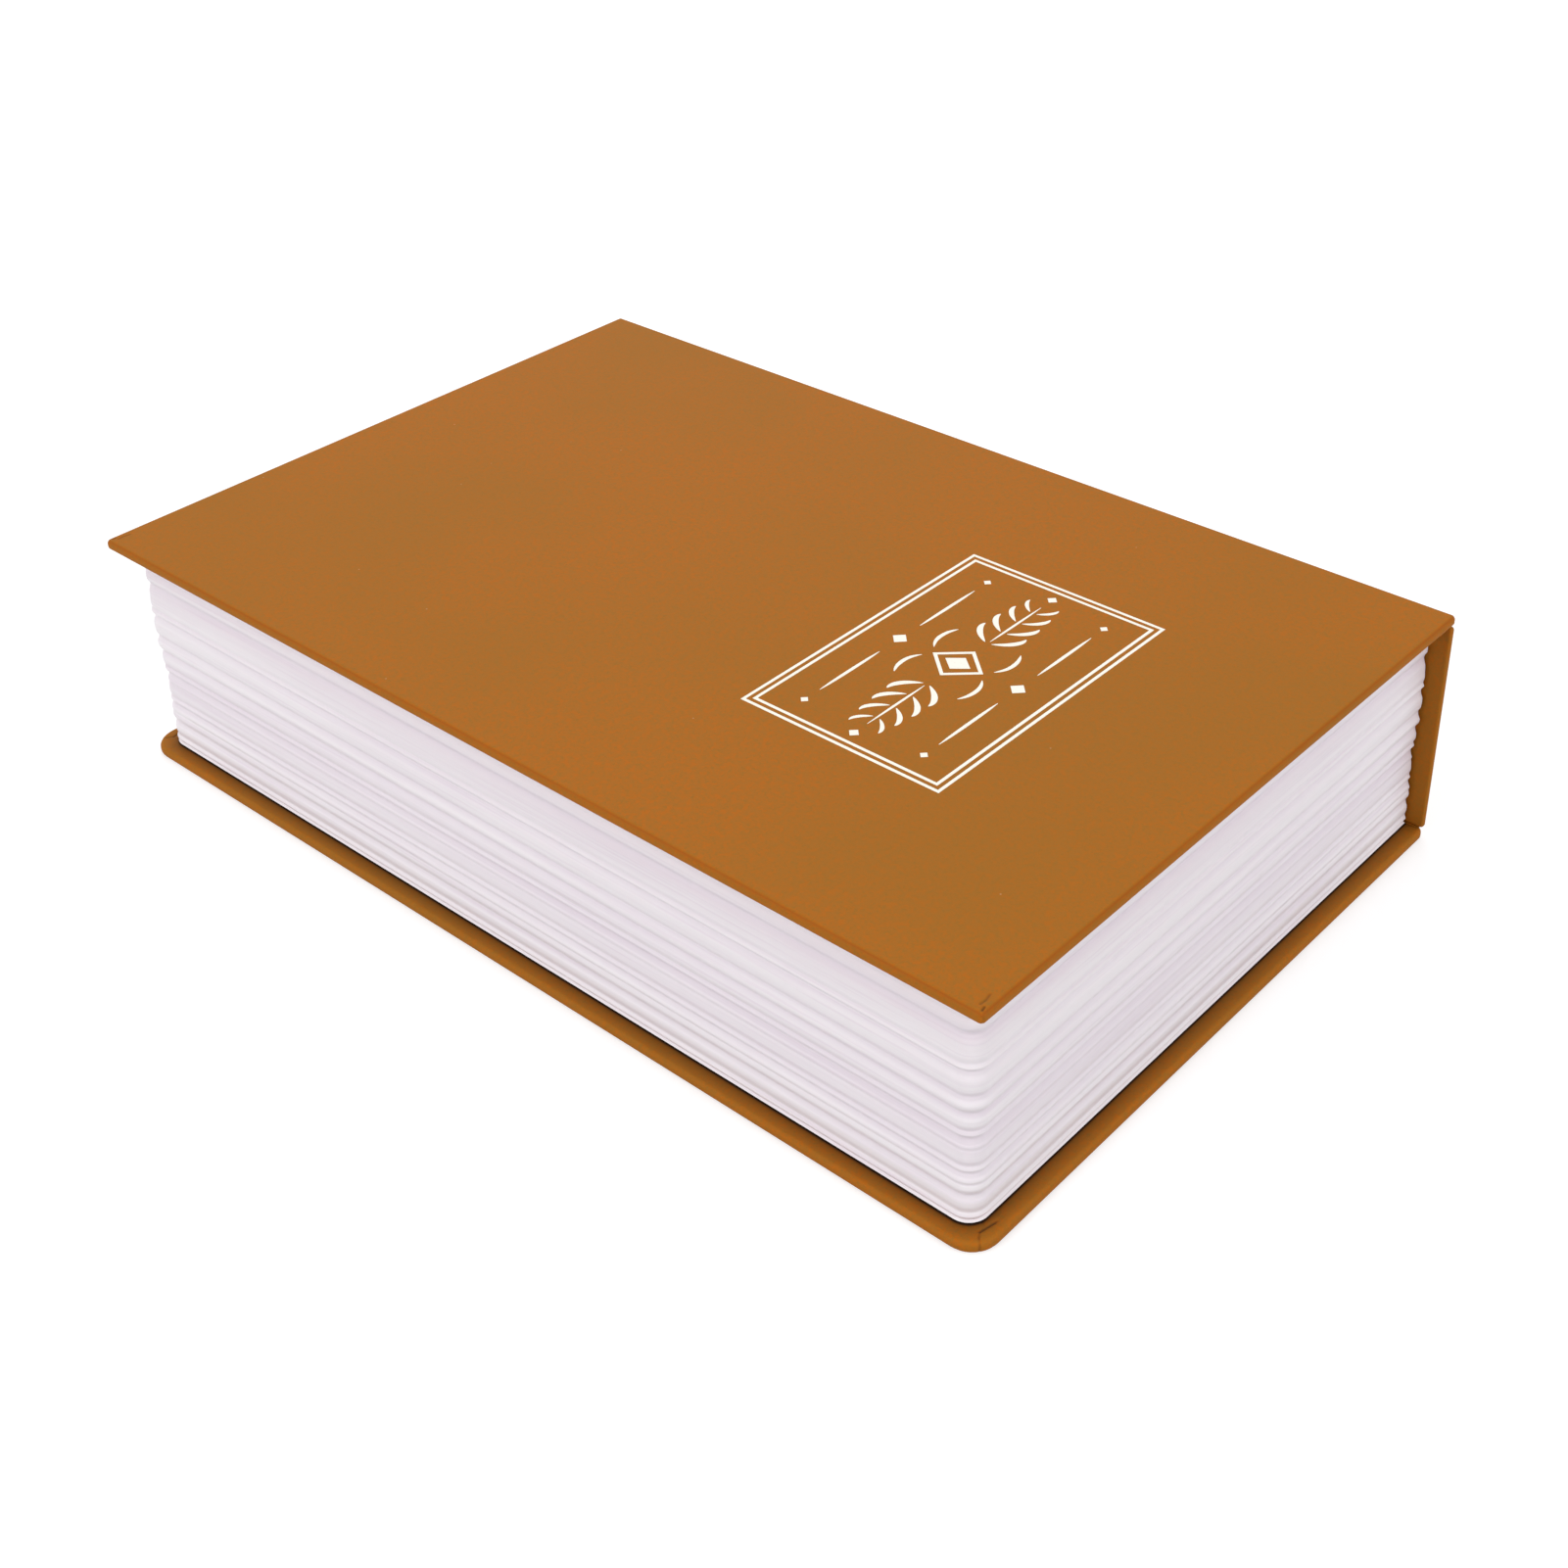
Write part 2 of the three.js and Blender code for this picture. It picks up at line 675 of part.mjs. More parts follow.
// A rivet along +Y from the outer face of the box wall: a domed head inside the box,
// and a flattened tail behind the page block's inner wall
function rivet() {
  const headFace = -sheet - seatGap;
  const tailFace = boxClearance + innerWall + seatGap;
  const domeSteps = 3;
  const dome = Array.from({ length: domeSteps }, (_, i) => {
    const turn = ((i + 1) / domeSteps) * (Math.PI / 2);
    return [rivetHeadRadius * Math.sin(turn), headFace - rivetHeadHeight * Math.cos(turn)];
  });
  const points = [
    [0, headFace - rivetHeadHeight], ...dome, [rivetRadius, headFace],
    [rivetRadius, tailFace], [rivetTailRadius, tailFace],
    [rivetTailRadius, tailFace + rivetTailHeight], [0, tailFace + rivetTailHeight],
  ].map(([radius, y]) => new THREE.Vector2(radius, y));
  return solid(new THREE.LatheGeometry(points, smallRoundSteps));
}

const safe = new THREE.Group();

// Fixed parts: back cover, page block, steel box, hinge rod and rivets
const backCover = cover(
  "back_cover", bookWidth, coverThickness, turnInWidth, coverEdgeRadius,
  [creaseCornerRadius, backForeCornerRadius],
);
backCover.position.z = coverThickness;
safe.add(backCover);
place(safe, "page_block", pageBlock(), pagePlastic);
place(safe, "steel_box", steelBox(), blackSteel);
place(safe, "hinge_rod", hingeRod(), plainSteel);
const rivetBody = rivet();
rivetPlaces.forEach(([x, y, turn], i) => {
  const piece = place(safe, "rivet_" + (i + 1), rivetBody, plainSteel);
  piece.position.set(x, y, rivetZ);
  piece.rotation.z = turn;
});

// Spine: stands between the two covers, with its inner face towards +X
const spineWidth = bookHeight - 2 * (coverThickness + creaseGap);
const spine = cover(
  "spine", spineWidth, spineThickness, spineTurnInWidth, spineEdgeRadius,
  [creaseCornerRadius, creaseCornerRadius],
);
spine.position.set(spineThickness - bookWidth / 2, 0, bookHeight / 2);
spine.rotation.y = Math.PI / 2;
safe.add(spine);

// Front cover: closed, with its inner face down
const frontCover = cover(
  "front_cover", bookWidth, coverThickness, turnInWidth, coverEdgeRadius,
  [creaseCornerRadius, frontForeCornerRadius],
);
frontCover.position.z = bookHeight - coverThickness;
frontCover.rotation.y = Math.PI;
safe.add(frontCover);

// Lid, with the fixed parts of its lock
const lid = new THREE.Group();
place(lid, "lid", lidPan(), blackSteel);
place(lid, "lock_housing", lockHousing(), plating);
place(lid, "lock_washer", lockWasher(), plainSteel);
place(lid, "lock_nut", lockNut(), plainSteel);
safe.add(lid);

// The part of the lock that the key turns
const turning = new THREE.Group();
place(turning, "lock_plug", lockPlug(), plating);
place(turning, "lock_cam", lockCam(), plainSteel);
place(turning, "cam_screw", camScrew(), plainSteel);
safe.add(turning);

export default safe;
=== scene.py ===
import math
from bisect import bisect

import bmesh
import bpy
from mathutils import Matrix, Vector, noise
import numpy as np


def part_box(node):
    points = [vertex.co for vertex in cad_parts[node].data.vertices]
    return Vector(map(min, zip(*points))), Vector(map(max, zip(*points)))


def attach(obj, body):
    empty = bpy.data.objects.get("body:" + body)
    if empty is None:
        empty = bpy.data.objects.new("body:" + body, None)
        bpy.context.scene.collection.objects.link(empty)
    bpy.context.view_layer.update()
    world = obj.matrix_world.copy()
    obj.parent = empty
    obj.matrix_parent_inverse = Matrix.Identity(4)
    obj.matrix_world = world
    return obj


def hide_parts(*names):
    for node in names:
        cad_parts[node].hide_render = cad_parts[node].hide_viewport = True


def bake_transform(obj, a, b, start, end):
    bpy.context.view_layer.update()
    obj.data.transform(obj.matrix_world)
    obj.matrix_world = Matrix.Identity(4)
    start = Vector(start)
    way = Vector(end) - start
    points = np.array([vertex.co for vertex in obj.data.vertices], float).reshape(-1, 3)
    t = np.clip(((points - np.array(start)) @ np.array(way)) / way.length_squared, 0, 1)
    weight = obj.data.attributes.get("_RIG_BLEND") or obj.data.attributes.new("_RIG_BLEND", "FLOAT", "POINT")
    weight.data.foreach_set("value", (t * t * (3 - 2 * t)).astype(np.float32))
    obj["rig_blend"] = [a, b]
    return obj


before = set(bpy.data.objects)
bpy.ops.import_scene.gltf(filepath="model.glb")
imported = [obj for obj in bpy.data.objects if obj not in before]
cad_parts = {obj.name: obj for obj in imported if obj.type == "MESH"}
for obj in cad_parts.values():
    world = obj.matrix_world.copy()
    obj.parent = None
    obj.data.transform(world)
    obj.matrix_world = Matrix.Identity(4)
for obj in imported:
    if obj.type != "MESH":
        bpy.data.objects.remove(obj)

bl_info = {
    "name": "Book diversion safe",
    "version": (1, 0, 0),
    "blender": (4, 5, 0),
    "location": "View3D > Sidebar > Book safe",
    "description": "Dresses a book-shaped safe in its paper, page block, box, lock and studio",
    "category": "Object",
}

MM = 0.001
TINY = 1e-6
BMVert = bmesh.types.BMVert
BMEdge = bmesh.types.BMEdge


def extent(node):
    low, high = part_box(node)
    return Vector(low), Vector(high)


# Places that the CAD solids give, in metres
BACK_LOW, BACK_HIGH = extent("back_cover_wrap")
FRONT_LOW, FRONT_HIGH = extent("front_cover_wrap")
SPINE_LOW, SPINE_HIGH = extent("spine_wrap")
BLOCK_LOW, BLOCK_HIGH = extent("page_block")
LOCK_LOW, LOCK_HIGH = extent("lock_housing")
PLUG_LOW, PLUG_HIGH = extent("lock_plug")
NUT_LOW, NUT_HIGH = extent("lock_nut")
WASHER_LOW, WASHER_HIGH = extent("lock_washer")
SCREW_LOW, SCREW_HIGH = extent("cam_screw")
ROD_LOW, ROD_HIGH = extent("hinge_rod")
LID_TOP = extent("lid")[1].z
LOCK_X = (LOCK_LOW.x + LOCK_HIGH.x) / 2
HALF_LENGTH = BACK_HIGH.y
BLOCK_HEIGHT = BLOCK_HIGH.z - BLOCK_LOW.z

# The page edge from the bottom up: each pair is a share of the block's height and a
# share of the ridge depth, from 0 on the proudest leaf to 1 in the deepest groove
RIDGES = (
    (0, 0.35), (0.0031, 0.2), (0.0092, 0.5), (0.0184, 0.34), (0.0286, 0.16), (0.0388, 0.3),
    (0.047, 0.42), (0.0592, 0.34), (0.0695, 0.26), (0.0858, 0.23), (0.096, 0.28),
    (0.1062, 0.45), (0.1246, 0.59), (0.1348, 0.49), (0.143, 0.32), (0.1553, 0.23),
    (0.1675, 0.29), (0.1777, 0.37), (0.1839, 0.31), (0.19, 0.25), (0.1982, 0.33),
    (0.2084, 0.52), (0.2247, 0.65), (0.2329, 0.56), (0.2421, 0.4), (0.2492, 0.48),
    (0.2594, 0.62), (0.2697, 0.54), (0.2799, 0.46), (0.3146, 0.52), (0.3248, 0.59),
    (0.332, 0.65), (0.3391, 0.6), (0.3463, 0.56), (0.3575, 0.74), (0.38, 0.92), (0.3922, 0.8),
    (0.4004, 0.55), (0.4065, 0.46), (0.4127, 0.52), (0.4249, 0.65), (0.4372, 0.5),
    (0.4535, 0.38), (0.4678, 0.4), (0.4821, 0.56), (0.5005, 0.72), (0.5107, 0.64),
    (0.5189, 0.43), (0.5291, 0.25), (0.5414, 0.19), (0.5536, 0.3), (0.5659, 0.49),
    (0.5822, 0.6), (0.5924, 0.49), (0.6006, 0.33), (0.6129, 0.24), (0.6333, 0.22),
    (0.6517, 0.25), (0.6619, 0.37), (0.6762, 0.57), (0.6905, 0.63), (0.6987, 0.54),
    (0.7068, 0.31), (0.712, 0.22), (0.7191, 0.32), (0.7303, 0.47), (0.7395, 0.4),
    (0.7497, 0.34), (0.7865, 0.45), (0.811, 0.52), (0.8274, 0.69), (0.8478, 0.88),
    (0.8601, 0.8), (0.8703, 0.62), (0.8784, 0.5), (0.8887, 0.48), (0.9009, 0.52),
    (0.9111, 0.6), (0.9193, 0.68), (0.9275, 0.61), (0.9346, 0.63), (0.9418, 0.71),
    (0.952, 0.6), (0.9642, 0.42), (0.9826, 0.3), (0.9949, 0.36), (1, 0.6),
)

# Distances in from a board's border where its paper is cut into a finer net, in mm
BORDER_LINES = (
    0.08, 0.2, 0.32, 0.45, 0.6, 0.8, 1, 1.2, 1.4, 1.6, 1.8, 2, 2.2, 2.4, 2.6, 2.8, 3, 3.25, 3.5,
    3.75, 4, 4.25, 4.5, 4.75, 5, 5.25, 5.5, 5.75, 6, 6.3, 6.6, 6.9, 7.3, 7.8, 8.5, 10, 12,
)

# The paper in a crease, between the rounded rims of the spine and a cover, as (depth in
# from the outside, distance past the spine's rim) pairs in mm; no depth is the inside
CREASE_SECTION = (
    (0, -0.62), (0, -0.3), (0.02, 0), (0.05, 0.25), (0.02, 0.6), (0, 0.9), (0, 1.24),
    (0.1, 0.83), (0.24, 0.6), (0.45, 0.44), (0.72, 0.32), (0.95, 0.28), (None, 0.27),
    (None, 0.03), (0.62, 0.02), (0.42, -0.04), (0.2, -0.18), (0.06, -0.36),
)
CREASE_REACH = max(rise for _, rise in CREASE_SECTION) * MM

# The title's ornament, in mm. A quarter of it: leaves as (start, size) pairs and strokes
# as (x, y, relative width) points. Half of it: the stem as (x, relative width) points.
# All of its small lozenges: (x, y, size)
LEAVES = ((9.5, 1), (14.5, 0.95), (19.5, 0.85), (24.3, 0.7))
STROKES = (
    ((4.5, 14.6, 0.2), (9, 14.6, 0.8), (15, 14.6, 1), (21, 14.6, 0.8), (26, 14.6, 0.2)),
    ((1.2, 6.9, 0.2), (3.2, 8.6, 0.9), (6, 9.2, 1.2), (8.8, 8.6, 0.9), (10.6, 7.4, 0.2)),
)
STEM = ((8, 0.2), (14, 0.9), (22, 0.8), (29, 0.3))
LOZENGES = (
    (0, 14.6, 3.6), (0, -14.6, 3.6), (28.4, 14.6, 1.9), (-28.4, 14.6, 1.9),
    (28.4, -14.6, 1.9), (-28.4, -14.6, 1.9), (31, 0, 2.4), (-31, 0, 2.4),
)

# The camera that matches the photo, and the lamps' places and size, in metres
CAMERA_PLACE = (0.2818193, 0.2737473, 0.2810691)
CAMERA_ANGLES = [math.radians(angle) for angle in (58.7285, 0.8918, 130.7024)]
CAMERA_SHIFT = (-0.043138, -0.102033)
LAMP_TARGET = Vector((0, 0, 0.03))
LAMPS = (
    ("top", Vector((-0.75, -0.75, 0.95))),
    ("fore", Vector((1.66, -0.35, 1.05))),
    ("head", Vector((-0.15, 1.72, 1.05))),
)
LAMP_SIZE = 1.2


def length(name, description, millimetres):
    return bpy.props.FloatProperty(
        name=name, description=description, default=millimetres * MM, unit="LENGTH", precision=5)


def colour(name, description, *levels):
    return bpy.props.FloatVectorProperty(
        name=name, description=description, subtype="COLOR", size=3, min=0, max=1,
        default=[to_linear(level / 255) for level in levels])


def power(name, description, watts):
    return bpy.props.FloatProperty(
        name=name, description=description, default=watts, unit="POWER")


def to_linear(value):
    if value <= 0.04045:
        return value / 12.92
    return ((value + 0.055) / 1.055) ** 2.4


class CoverSettings(bpy.types.PropertyGroup):
    edge_radius: length("Cover edge", "Radius of the two covers' rims", 0.9)
    spine_edge_radius: length("Spine edge", "Radius of the spine's rims", 0.6)
    corner_radius: length("Front corner", "Radius of the front cover's corners", 1)
    spine_corner_radius: length("Spine corner", "Radius of the spine's corners", 0.7)
    back_spine_corner_radius: length(
        "Back spine corner", "Radius of the back cover's two corners at the spine", 2.4)
    back_corner_radius: length(
        "Back fore corner", "Radius of the back cover's two corners at the fore-edge", 6)
    paper: length("Paper", "Thickness of the cover paper", 0.25)
    turn_in: length("Turn-in", "Width of the paper turned in over a cover's edges", 15)
    spine_turn_in: length(
        "Spine turn-in", "Width of the paper turned in over the spine's edges", 9)
    press_line: length("Press line", "Distance of the pressed line from a board's border", 0.32)
    press_depth: length("Press depth", "Depth of the pressed line", 0.04)
    fold_depth: length("Fold depth", "Depth of the folds at the corners", 0.3)
    board_inset: length(
        "Board inset", "Distance from the outside of the paper to the board", 0.3)


class PageSettings(bpy.types.PropertyGroup):
    corner_radius: length(
        "Fore corner", "Radius of the block's two corners at the fore-edge", 4.5)
    ridge_depth: length(
        "Ridge depth", "Depth of the deepest groove between the leaves", 1.4)
    line_depth: length("Line depth", "Depth of the fine lines on the ridges", 0.035)
    sway: length("Sway", "How far the ridges wander up and down along the block", 0.12)
    level_pitch: length("Level pitch", "Height of one row of faces on the ridges", 0.16)
    step: length("Step", "Length of one face along the block", 5)


class TitleSettings(bpy.types.PropertyGroup):
    width: length("Width", "Width of the title frame", 72)
    height: length("Height", "Height of the title frame", 48.2)
    centre_y: length(
        "Centre", "Distance of the title frame's middle from the book's, to the head", 53.9)
    rule: length("Rule", "Width of the frame's thin rules", 0.7)
    rule_pitch: length("Rule pitch", "Distance from the outer rule to the inner one", 1.6)
    ink: length("Ink", "Thickness of the raised ink", 0.03)


class MetalSettings(bpy.types.PropertyGroup):
    soft_edge: length("Soft edge", "Width of the rounding on sheet edges", 0.18)
    thread_pitch: length("Thread pitch", "Pitch of the thread on the lock barrel", 0.75)
    thread_depth: length("Thread depth", "Depth of the thread on the lock barrel", 0.35)


class FinishSettings(bpy.types.PropertyGroup):
    cover: colour("Cover paper", "Brown of the cover paper", 168, 102, 22)
    cover_warm: colour("Warm fleck", "Orange in the cover paper's grain", 181, 101, 14)
    cover_cool: colour("Cool fleck", "Olive in the cover paper's grain", 152, 102, 28)
    # Painted shade along the covers' rounded rims, at the shallow pressed line
    edge_line_shade: colour("Pressed line", "Brown of the pressed lines", 160, 82, 10)
    # Painted shade in the corner folds and under and beside the page block
    fold_and_seat_shade: colour("Fold", "Dark brown in the folds and under the block", 42, 22, 9)
    ink: colour("Ink", "Warm white of the printed title frame", 250, 247, 234)
    board: colour("Board", "Grey of the raw board", 154, 145, 132)
    lining: colour("Lining", "Dark grey of the endpapers", 43, 39, 36)
    page: colour("Page", "Lilac white on the crests of the pages", 244, 238, 242)
    # Painted shade in the grooves of the pages; the fine lines take the same mauve
    page_groove_shade: colour("Groove", "Mauve in the grooves of the pages", 228, 215, 226)
    paint: colour("Paint", "Black of the powder coat", 38, 39, 42)
    zinc: colour("Zinc", "Grey of the zinc plating", 180, 182, 185)
    nickel: colour("Nickel", "Grey of the nickel plating", 201, 204, 208)


class StudioSettings(bpy.types.PropertyGroup):
    sky: bpy.props.FloatProperty(
        name="Sky", description="Strength of the even light from all round", default=0.5)
    top: power("Top", "Power of the lamp above the book", 5.2)
    fore: power("Fore", "Power of the lamp at the fore-edge", 16.6)
    head: power("Head", "Power of the lamp at the head", 13.9)
    lens: bpy.props.FloatProperty(
        name="Lens", description="Focal length in millimetres on a 36 mm sensor", default=49.8768)


def settings(part):
    return getattr(bpy.context.scene, "book_safe_" + part)


# Shapes

def move(bm, step):
    bmesh.ops.translate(bm, vec=step, verts=bm.verts)


def stretch(bm, factors):
    bmesh.ops.scale(bm, vec=factors, verts=bm.verts)


def turn(bm, matrix):
    bmesh.ops.rotate(bm, cent=(0, 0, 0), matrix=matrix, verts=bm.verts)


def face_out(bm):
    bmesh.ops.recalc_face_normals(bm, faces=bm.faces)


def only(kind, items):
    return [item for item in items if isinstance(item, kind)]


def is_upright(edge):
    return abs(edge.verts[0].co.z - edge.verts[1].co.z) > TINY


def lies_at(edge, height):
    return all(abs(vert.co.z - height) < TINY for vert in edge.verts)


def round_edges(bm, edges, radius, steps):
    bmesh.ops.bevel(
        bm, geom=edges, offset=radius, offset_type="OFFSET", segments=steps, profile=0.5,
        affect="EDGES", material=-1, clamp_overlap=True)


def slice_at(bm, point, normal, clear=False):
    """Cuts along a plane, takes away what lies beyond it if asked, and returns the cut."""
    return bmesh.ops.bisect_plane(
        bm, geom=bm.verts[:] + bm.edges[:] + bm.faces[:], dist=TINY * 0.1,
        plane_co=point, plane_no=normal, clear_outer=clear)["geom_cut"]


def flat_cut(bm, point, normal):
    """Takes away what lies beyond a plane and closes the cut."""
    rim = only(BMEdge, slice_at(bm, point, normal, True))
    bmesh.ops.edgenet_fill(bm, edges=[edge for edge in rim if edge.is_boundary])


def spun(profile, steps, x=0, closed=False):
    """A solid of revolution about the upright axis at x, from (radius, height) pairs."""
    bm = bmesh.new()
    verts = [bm.verts.new((radius, 0, height)) for radius, height in profile]
    pairs = list(zip(verts, verts[1:]))
    if closed:
        pairs.append((verts[-1], verts[0]))
    edges = [bm.edges.new(pair) for pair in pairs]
    bmesh.ops.spin(
        bm, geom=verts + edges, cent=(0, 0, 0), axis=(0, 0, 1), angle=2 * math.pi,
        steps=steps, use_merge=True)
    bmesh.ops.remove_doubles(bm, verts=bm.verts, dist=TINY)
    face_out(bm)
    move(bm, (x, 0, 0))
    return bm


def join(target, *others):
    """Adds the other shapes to the target as shells of their own."""
    for other in others:
        mesh = bpy.data.meshes.new("joined")
        other.to_mesh(mesh)
        other.free()
        target.from_mesh(mesh)
        bpy.data.meshes.remove(mesh)
    return target


def cad_copy(node):
    """A CAD node's own shape, merged, as the start of a finer one."""
    bm = bmesh.new()
    bm.from_mesh(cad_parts[node].data)
    bmesh.ops.remove_doubles(bm, verts=bm.verts, dist=TINY)
    return bm


def ring_fill(bm, height):
    """Closes the flat ring between the loose edges at one height."""
    rim = [e for e in bm.edges if len(e.link_faces) < 2 and lies_at(e, height)]
    bmesh.ops.triangle_fill(bm, edges=rim, use_beauty=True, use_dissolve=False)


def add_piece(name, bm, body, slot, stands_for=(), crisp=35, finish=None):
    """Makes an object of a shape, in its slot's finish if it has no other, and lets it
    ride on its body."""
    mesh = bpy.data.meshes.new(name)
    bm.to_mesh(mesh)
    bm.free()
    mesh.materials.append(finish or finish_for(slot))
    mesh.shade_smooth()
    mesh.set_sharp_from_angle(angle=math.radians(crisp))
    piece = bpy.data.objects.new(name, mesh)
    bpy.context.scene.collection.objects.link(piece)
    if body:
        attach(piece, body)
    if stands_for:
        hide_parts(*stands_for)
    return piece


def keep_flat(piece):
    """Lets flat faces look flat right up to their rounded edges."""
    normals = piece.modifiers.new("flat faces", "WEIGHTED_NORMAL")
    normals.keep_sharp = True


# Materials

class Nodes:
    """A node tree, with a method for each kind of node that the finishes use."""

    def __init__(self, tree):
        self.tree = tree

    def feed(self, socket, value):
        """Links a socket to an output, or sets its value."""
        if isinstance(value, bpy.types.NodeSocket):
            self.tree.links.new(value, socket)
        elif socket.type == "RGBA":
            socket.default_value = (*value, 1)
        else:
            socket.default_value = value

    def add(self, kind, inputs, **options):
        node = self.tree.nodes.new("ShaderNode" + kind)
        for name, value in options.items():
            setattr(node, name, value)
        for name, value in inputs.items():
            self.feed(node.inputs[name], value)
        return node.outputs

    def ramp(self, source, low, high):
        """0 up to low, 1 from high on, and a smooth step between them."""
        return self.add(
            "MapRange", {"Value": source, "From Min": low, "From Max": high},
            interpolation_type="SMOOTHSTEP")["Result"]

    def scaled(self, source, low, high):
        """Maps 0 to 1 onto low to high."""
        return self.add("MapRange", {"Value": source, "To Min": low, "To Max": high})["Result"]

    def math(self, operation, first, second):
        return self.add("Math", {0: first, 1: second}, operation=operation)["Value"]

    def blend(self, share, first, second):
        """Mixes two colours: all of the first at a share of 0, all of the second at 1."""
        return self.add("Mix", {0: share, 6: first, 7: second}, data_type="RGBA")[2]

    def attribute(self, name):
        return self.add("Attribute", {}, attribute_name=name)["Fac"]

    def seen(self):
        """1 where the camera, a gloss or a glass looks, and 0 for the light itself."""
        ray = self.add("LightPath", {})
        mirrored = self.math("MAXIMUM", ray["Is Glossy Ray"], ray["Is Transmission Ray"])
        return self.math("MAXIMUM", ray["Is Camera Ray"], mirrored)


class Finish(Nodes):
    """A new material, with its patterns on the object's own coordinates."""

    def __init__(self, name):
        self.material = bpy.data.materials.new(name)
        self.material.use_nodes = True
        super().__init__(self.material.node_tree)
        self.shader = self.tree.nodes["Principled BSDF"]
        self.place = self.add("TexCoord", {})["Object"]

    def grain(self, scale, detail=2, roughness=0.5, spread=(1, 1, 1)):
        """Noise: scale counts its lumps to the metre, and a spread below 1 draws them out."""
        spot = self.add("Mapping", {"Scale": spread, "Vector": self.place})["Vector"]
        return self.add("TexNoise", {
            "Scale": scale, "Detail": detail, "Roughness": roughness, "Vector": spot})["Fac"]

    def bump(self, height, distance, strength):
        normal = self.add("Bump", {
            "Strength": strength, "Distance": distance, "Height": height})["Normal"]
        self.surface({"Normal": normal})

    def surface(self, inputs):
        for name, value in inputs.items():
            self.feed(self.shader.inputs[name], value)


def cover_paper(name):
    """Brown cover paper with flecks and specks of dust, and painted shade along the rim at
    the pressed line, in the folds and under the page block, where its attributes mark it."""
    colours = settings("finish")
    paper = Finish(name)
    fine = paper.grain(1700, detail=3, roughness=0.6)
    flecks = paper.grain(800, detail=3, roughness=0.65)
    clouds = paper.grain(16, detail=3)
    tone = paper.blend(paper.ramp(flecks, 0.42, 0.66), colours.cover, colours.cover_warm)
    tone = paper.blend(
        paper.scaled(paper.ramp(fine, 0.48, 0.72), 0, 0.9), tone, colours.cover_cool)
    tone = paper.blend(
        paper.scaled(paper.ramp(clouds, 0.35, 0.7), 0, 0.4), tone, colours.cover_cool)

    # Painted shade along the rounded rim at the pressed line, unevenly strong
    uneven = paper.scaled(paper.grain(45), 0.5, 1)
    line = paper.math("MULTIPLY", paper.attribute("line"), uneven)
    tone = paper.blend(line, tone, colours.edge_line_shade)
    # Painted shade in the corner folds and on the paper under and beside the page block
    tone = paper.blend(paper.attribute("fold"), tone, colours.fold_and_seat_shade)

    dust = paper.add("TexVoronoi", {"Scale": 110, "Vector": paper.place})["Distance"]
    speck = paper.math("SUBTRACT", 1, paper.ramp(dust, 0.012, 0.026))
    tone = paper.blend(paper.scaled(speck, 0, 0.4), tone, (0.6, 0.4, 0.24))
    paper.surface({
        "Base Color": tone, "Roughness": paper.scaled(flecks, 0.62, 0.78),
        "Specular IOR Level": 0.16})
    height = paper.math("ADD", fine, paper.math("MULTIPLY", flecks, 0.5))
    paper.bump(height, 0.05 * MM, 0.5)
    return paper.material


def printed_ink():
    colours = settings("finish")
    ink = Finish("title ink")
    wear = ink.ramp(ink.grain(1400, detail=3, roughness=0.7), 0.62, 0.74)
    ink.surface({
        "Base Color": ink.blend(ink.scaled(wear, 0, 0.22), colours.ink, colours.cover),
        "Roughness": ink.scaled(wear, 0.4, 0.6)})
    return ink.material


def plain_paper(name, ground, fibre, roughness):
    """Board or endpaper: an even ground with short fibres."""
    paper = Finish(name)
    fibres = paper.grain(700, detail=4, roughness=0.7, spread=(1, 0.35, 1))
    clouds = paper.grain(60)
    tone = paper.blend(paper.scaled(paper.ramp(fibres, 0.5, 0.75), 0, 0.5), ground, fibre)
    tone = paper.blend(paper.scaled(clouds, 0, 0.3), tone, fibre)
    paper.surface({
        "Base Color": tone, "Specular IOR Level": 0.3,
        "Roughness": paper.scaled(fibres, roughness - 0.08, roughness + 0.06)})
    paper.bump(fibres, 0.06 * MM, 0.5)
    return paper.material


def grey_board(name):
    return plain_paper(name, settings("finish").board, (0.18, 0.15, 0.11), 0.9)


def lining_paper(name):
    return plain_paper(name, settings("finish").lining, (0.05, 0.045, 0.04), 0.82)


def page_plastic(name):
    """Lilac-white moulded plastic: painted shade in mauve, deeper in the grooves, and fine lines along the
    leaves.
    """
    colours = settings("finish")
    plastic = Finish(name)
    lines = plastic.grain(1500, detail=3, roughness=0.65, spread=(0.012, 0.012, 1))
    streaks = plastic.grain(500, spread=(0.03, 0.03, 1))
    # Painted shade: more of the mauve the deeper the groove, with random streaks along the leaves
    shade = plastic.math(
        "ADD", plastic.scaled(plastic.attribute("groove"), -0.17, 0.78),
        plastic.scaled(streaks, -0.35, 0.35))
    tone = plastic.blend(shade, colours.page, colours.page_groove_shade)
    # The fine lines along the leaves take the same mauve
    tone = plastic.blend(
        plastic.scaled(plastic.ramp(lines, 0.5, 0.72), 0, 0.5), tone, colours.page_groove_shade)
    plastic.surface({
        "Base Color": tone, "Roughness": plastic.scaled(streaks, 0.3, 0.45),
        "Subsurface Weight": 0.08, "Subsurface Radius": (0.0015, 0.0012, 0.0012)})
    plastic.bump(lines, 0.05 * MM, 0.6)
    return plastic.material


def box_paint(name):
    """Black powder coat with the fine peel of baked paint."""
    coat = Finish(name)
    peel = coat.grain(1300, roughness=0.55)
    clouds = coat.grain(40)
    paint = Vector(settings("finish").paint)
    tone = coat.blend(clouds, paint * 0.85, paint * 1.25)
    tone = coat.blend(coat.ramp(peel, 0.45, 0.8), tone, paint * 1.7)
    coat.surface({"Base Color": tone, "Roughness": coat.scaled(peel, 0.32, 0.55)})
    coat.bump(peel, 0.12 * MM, 0.6)
    return coat.material


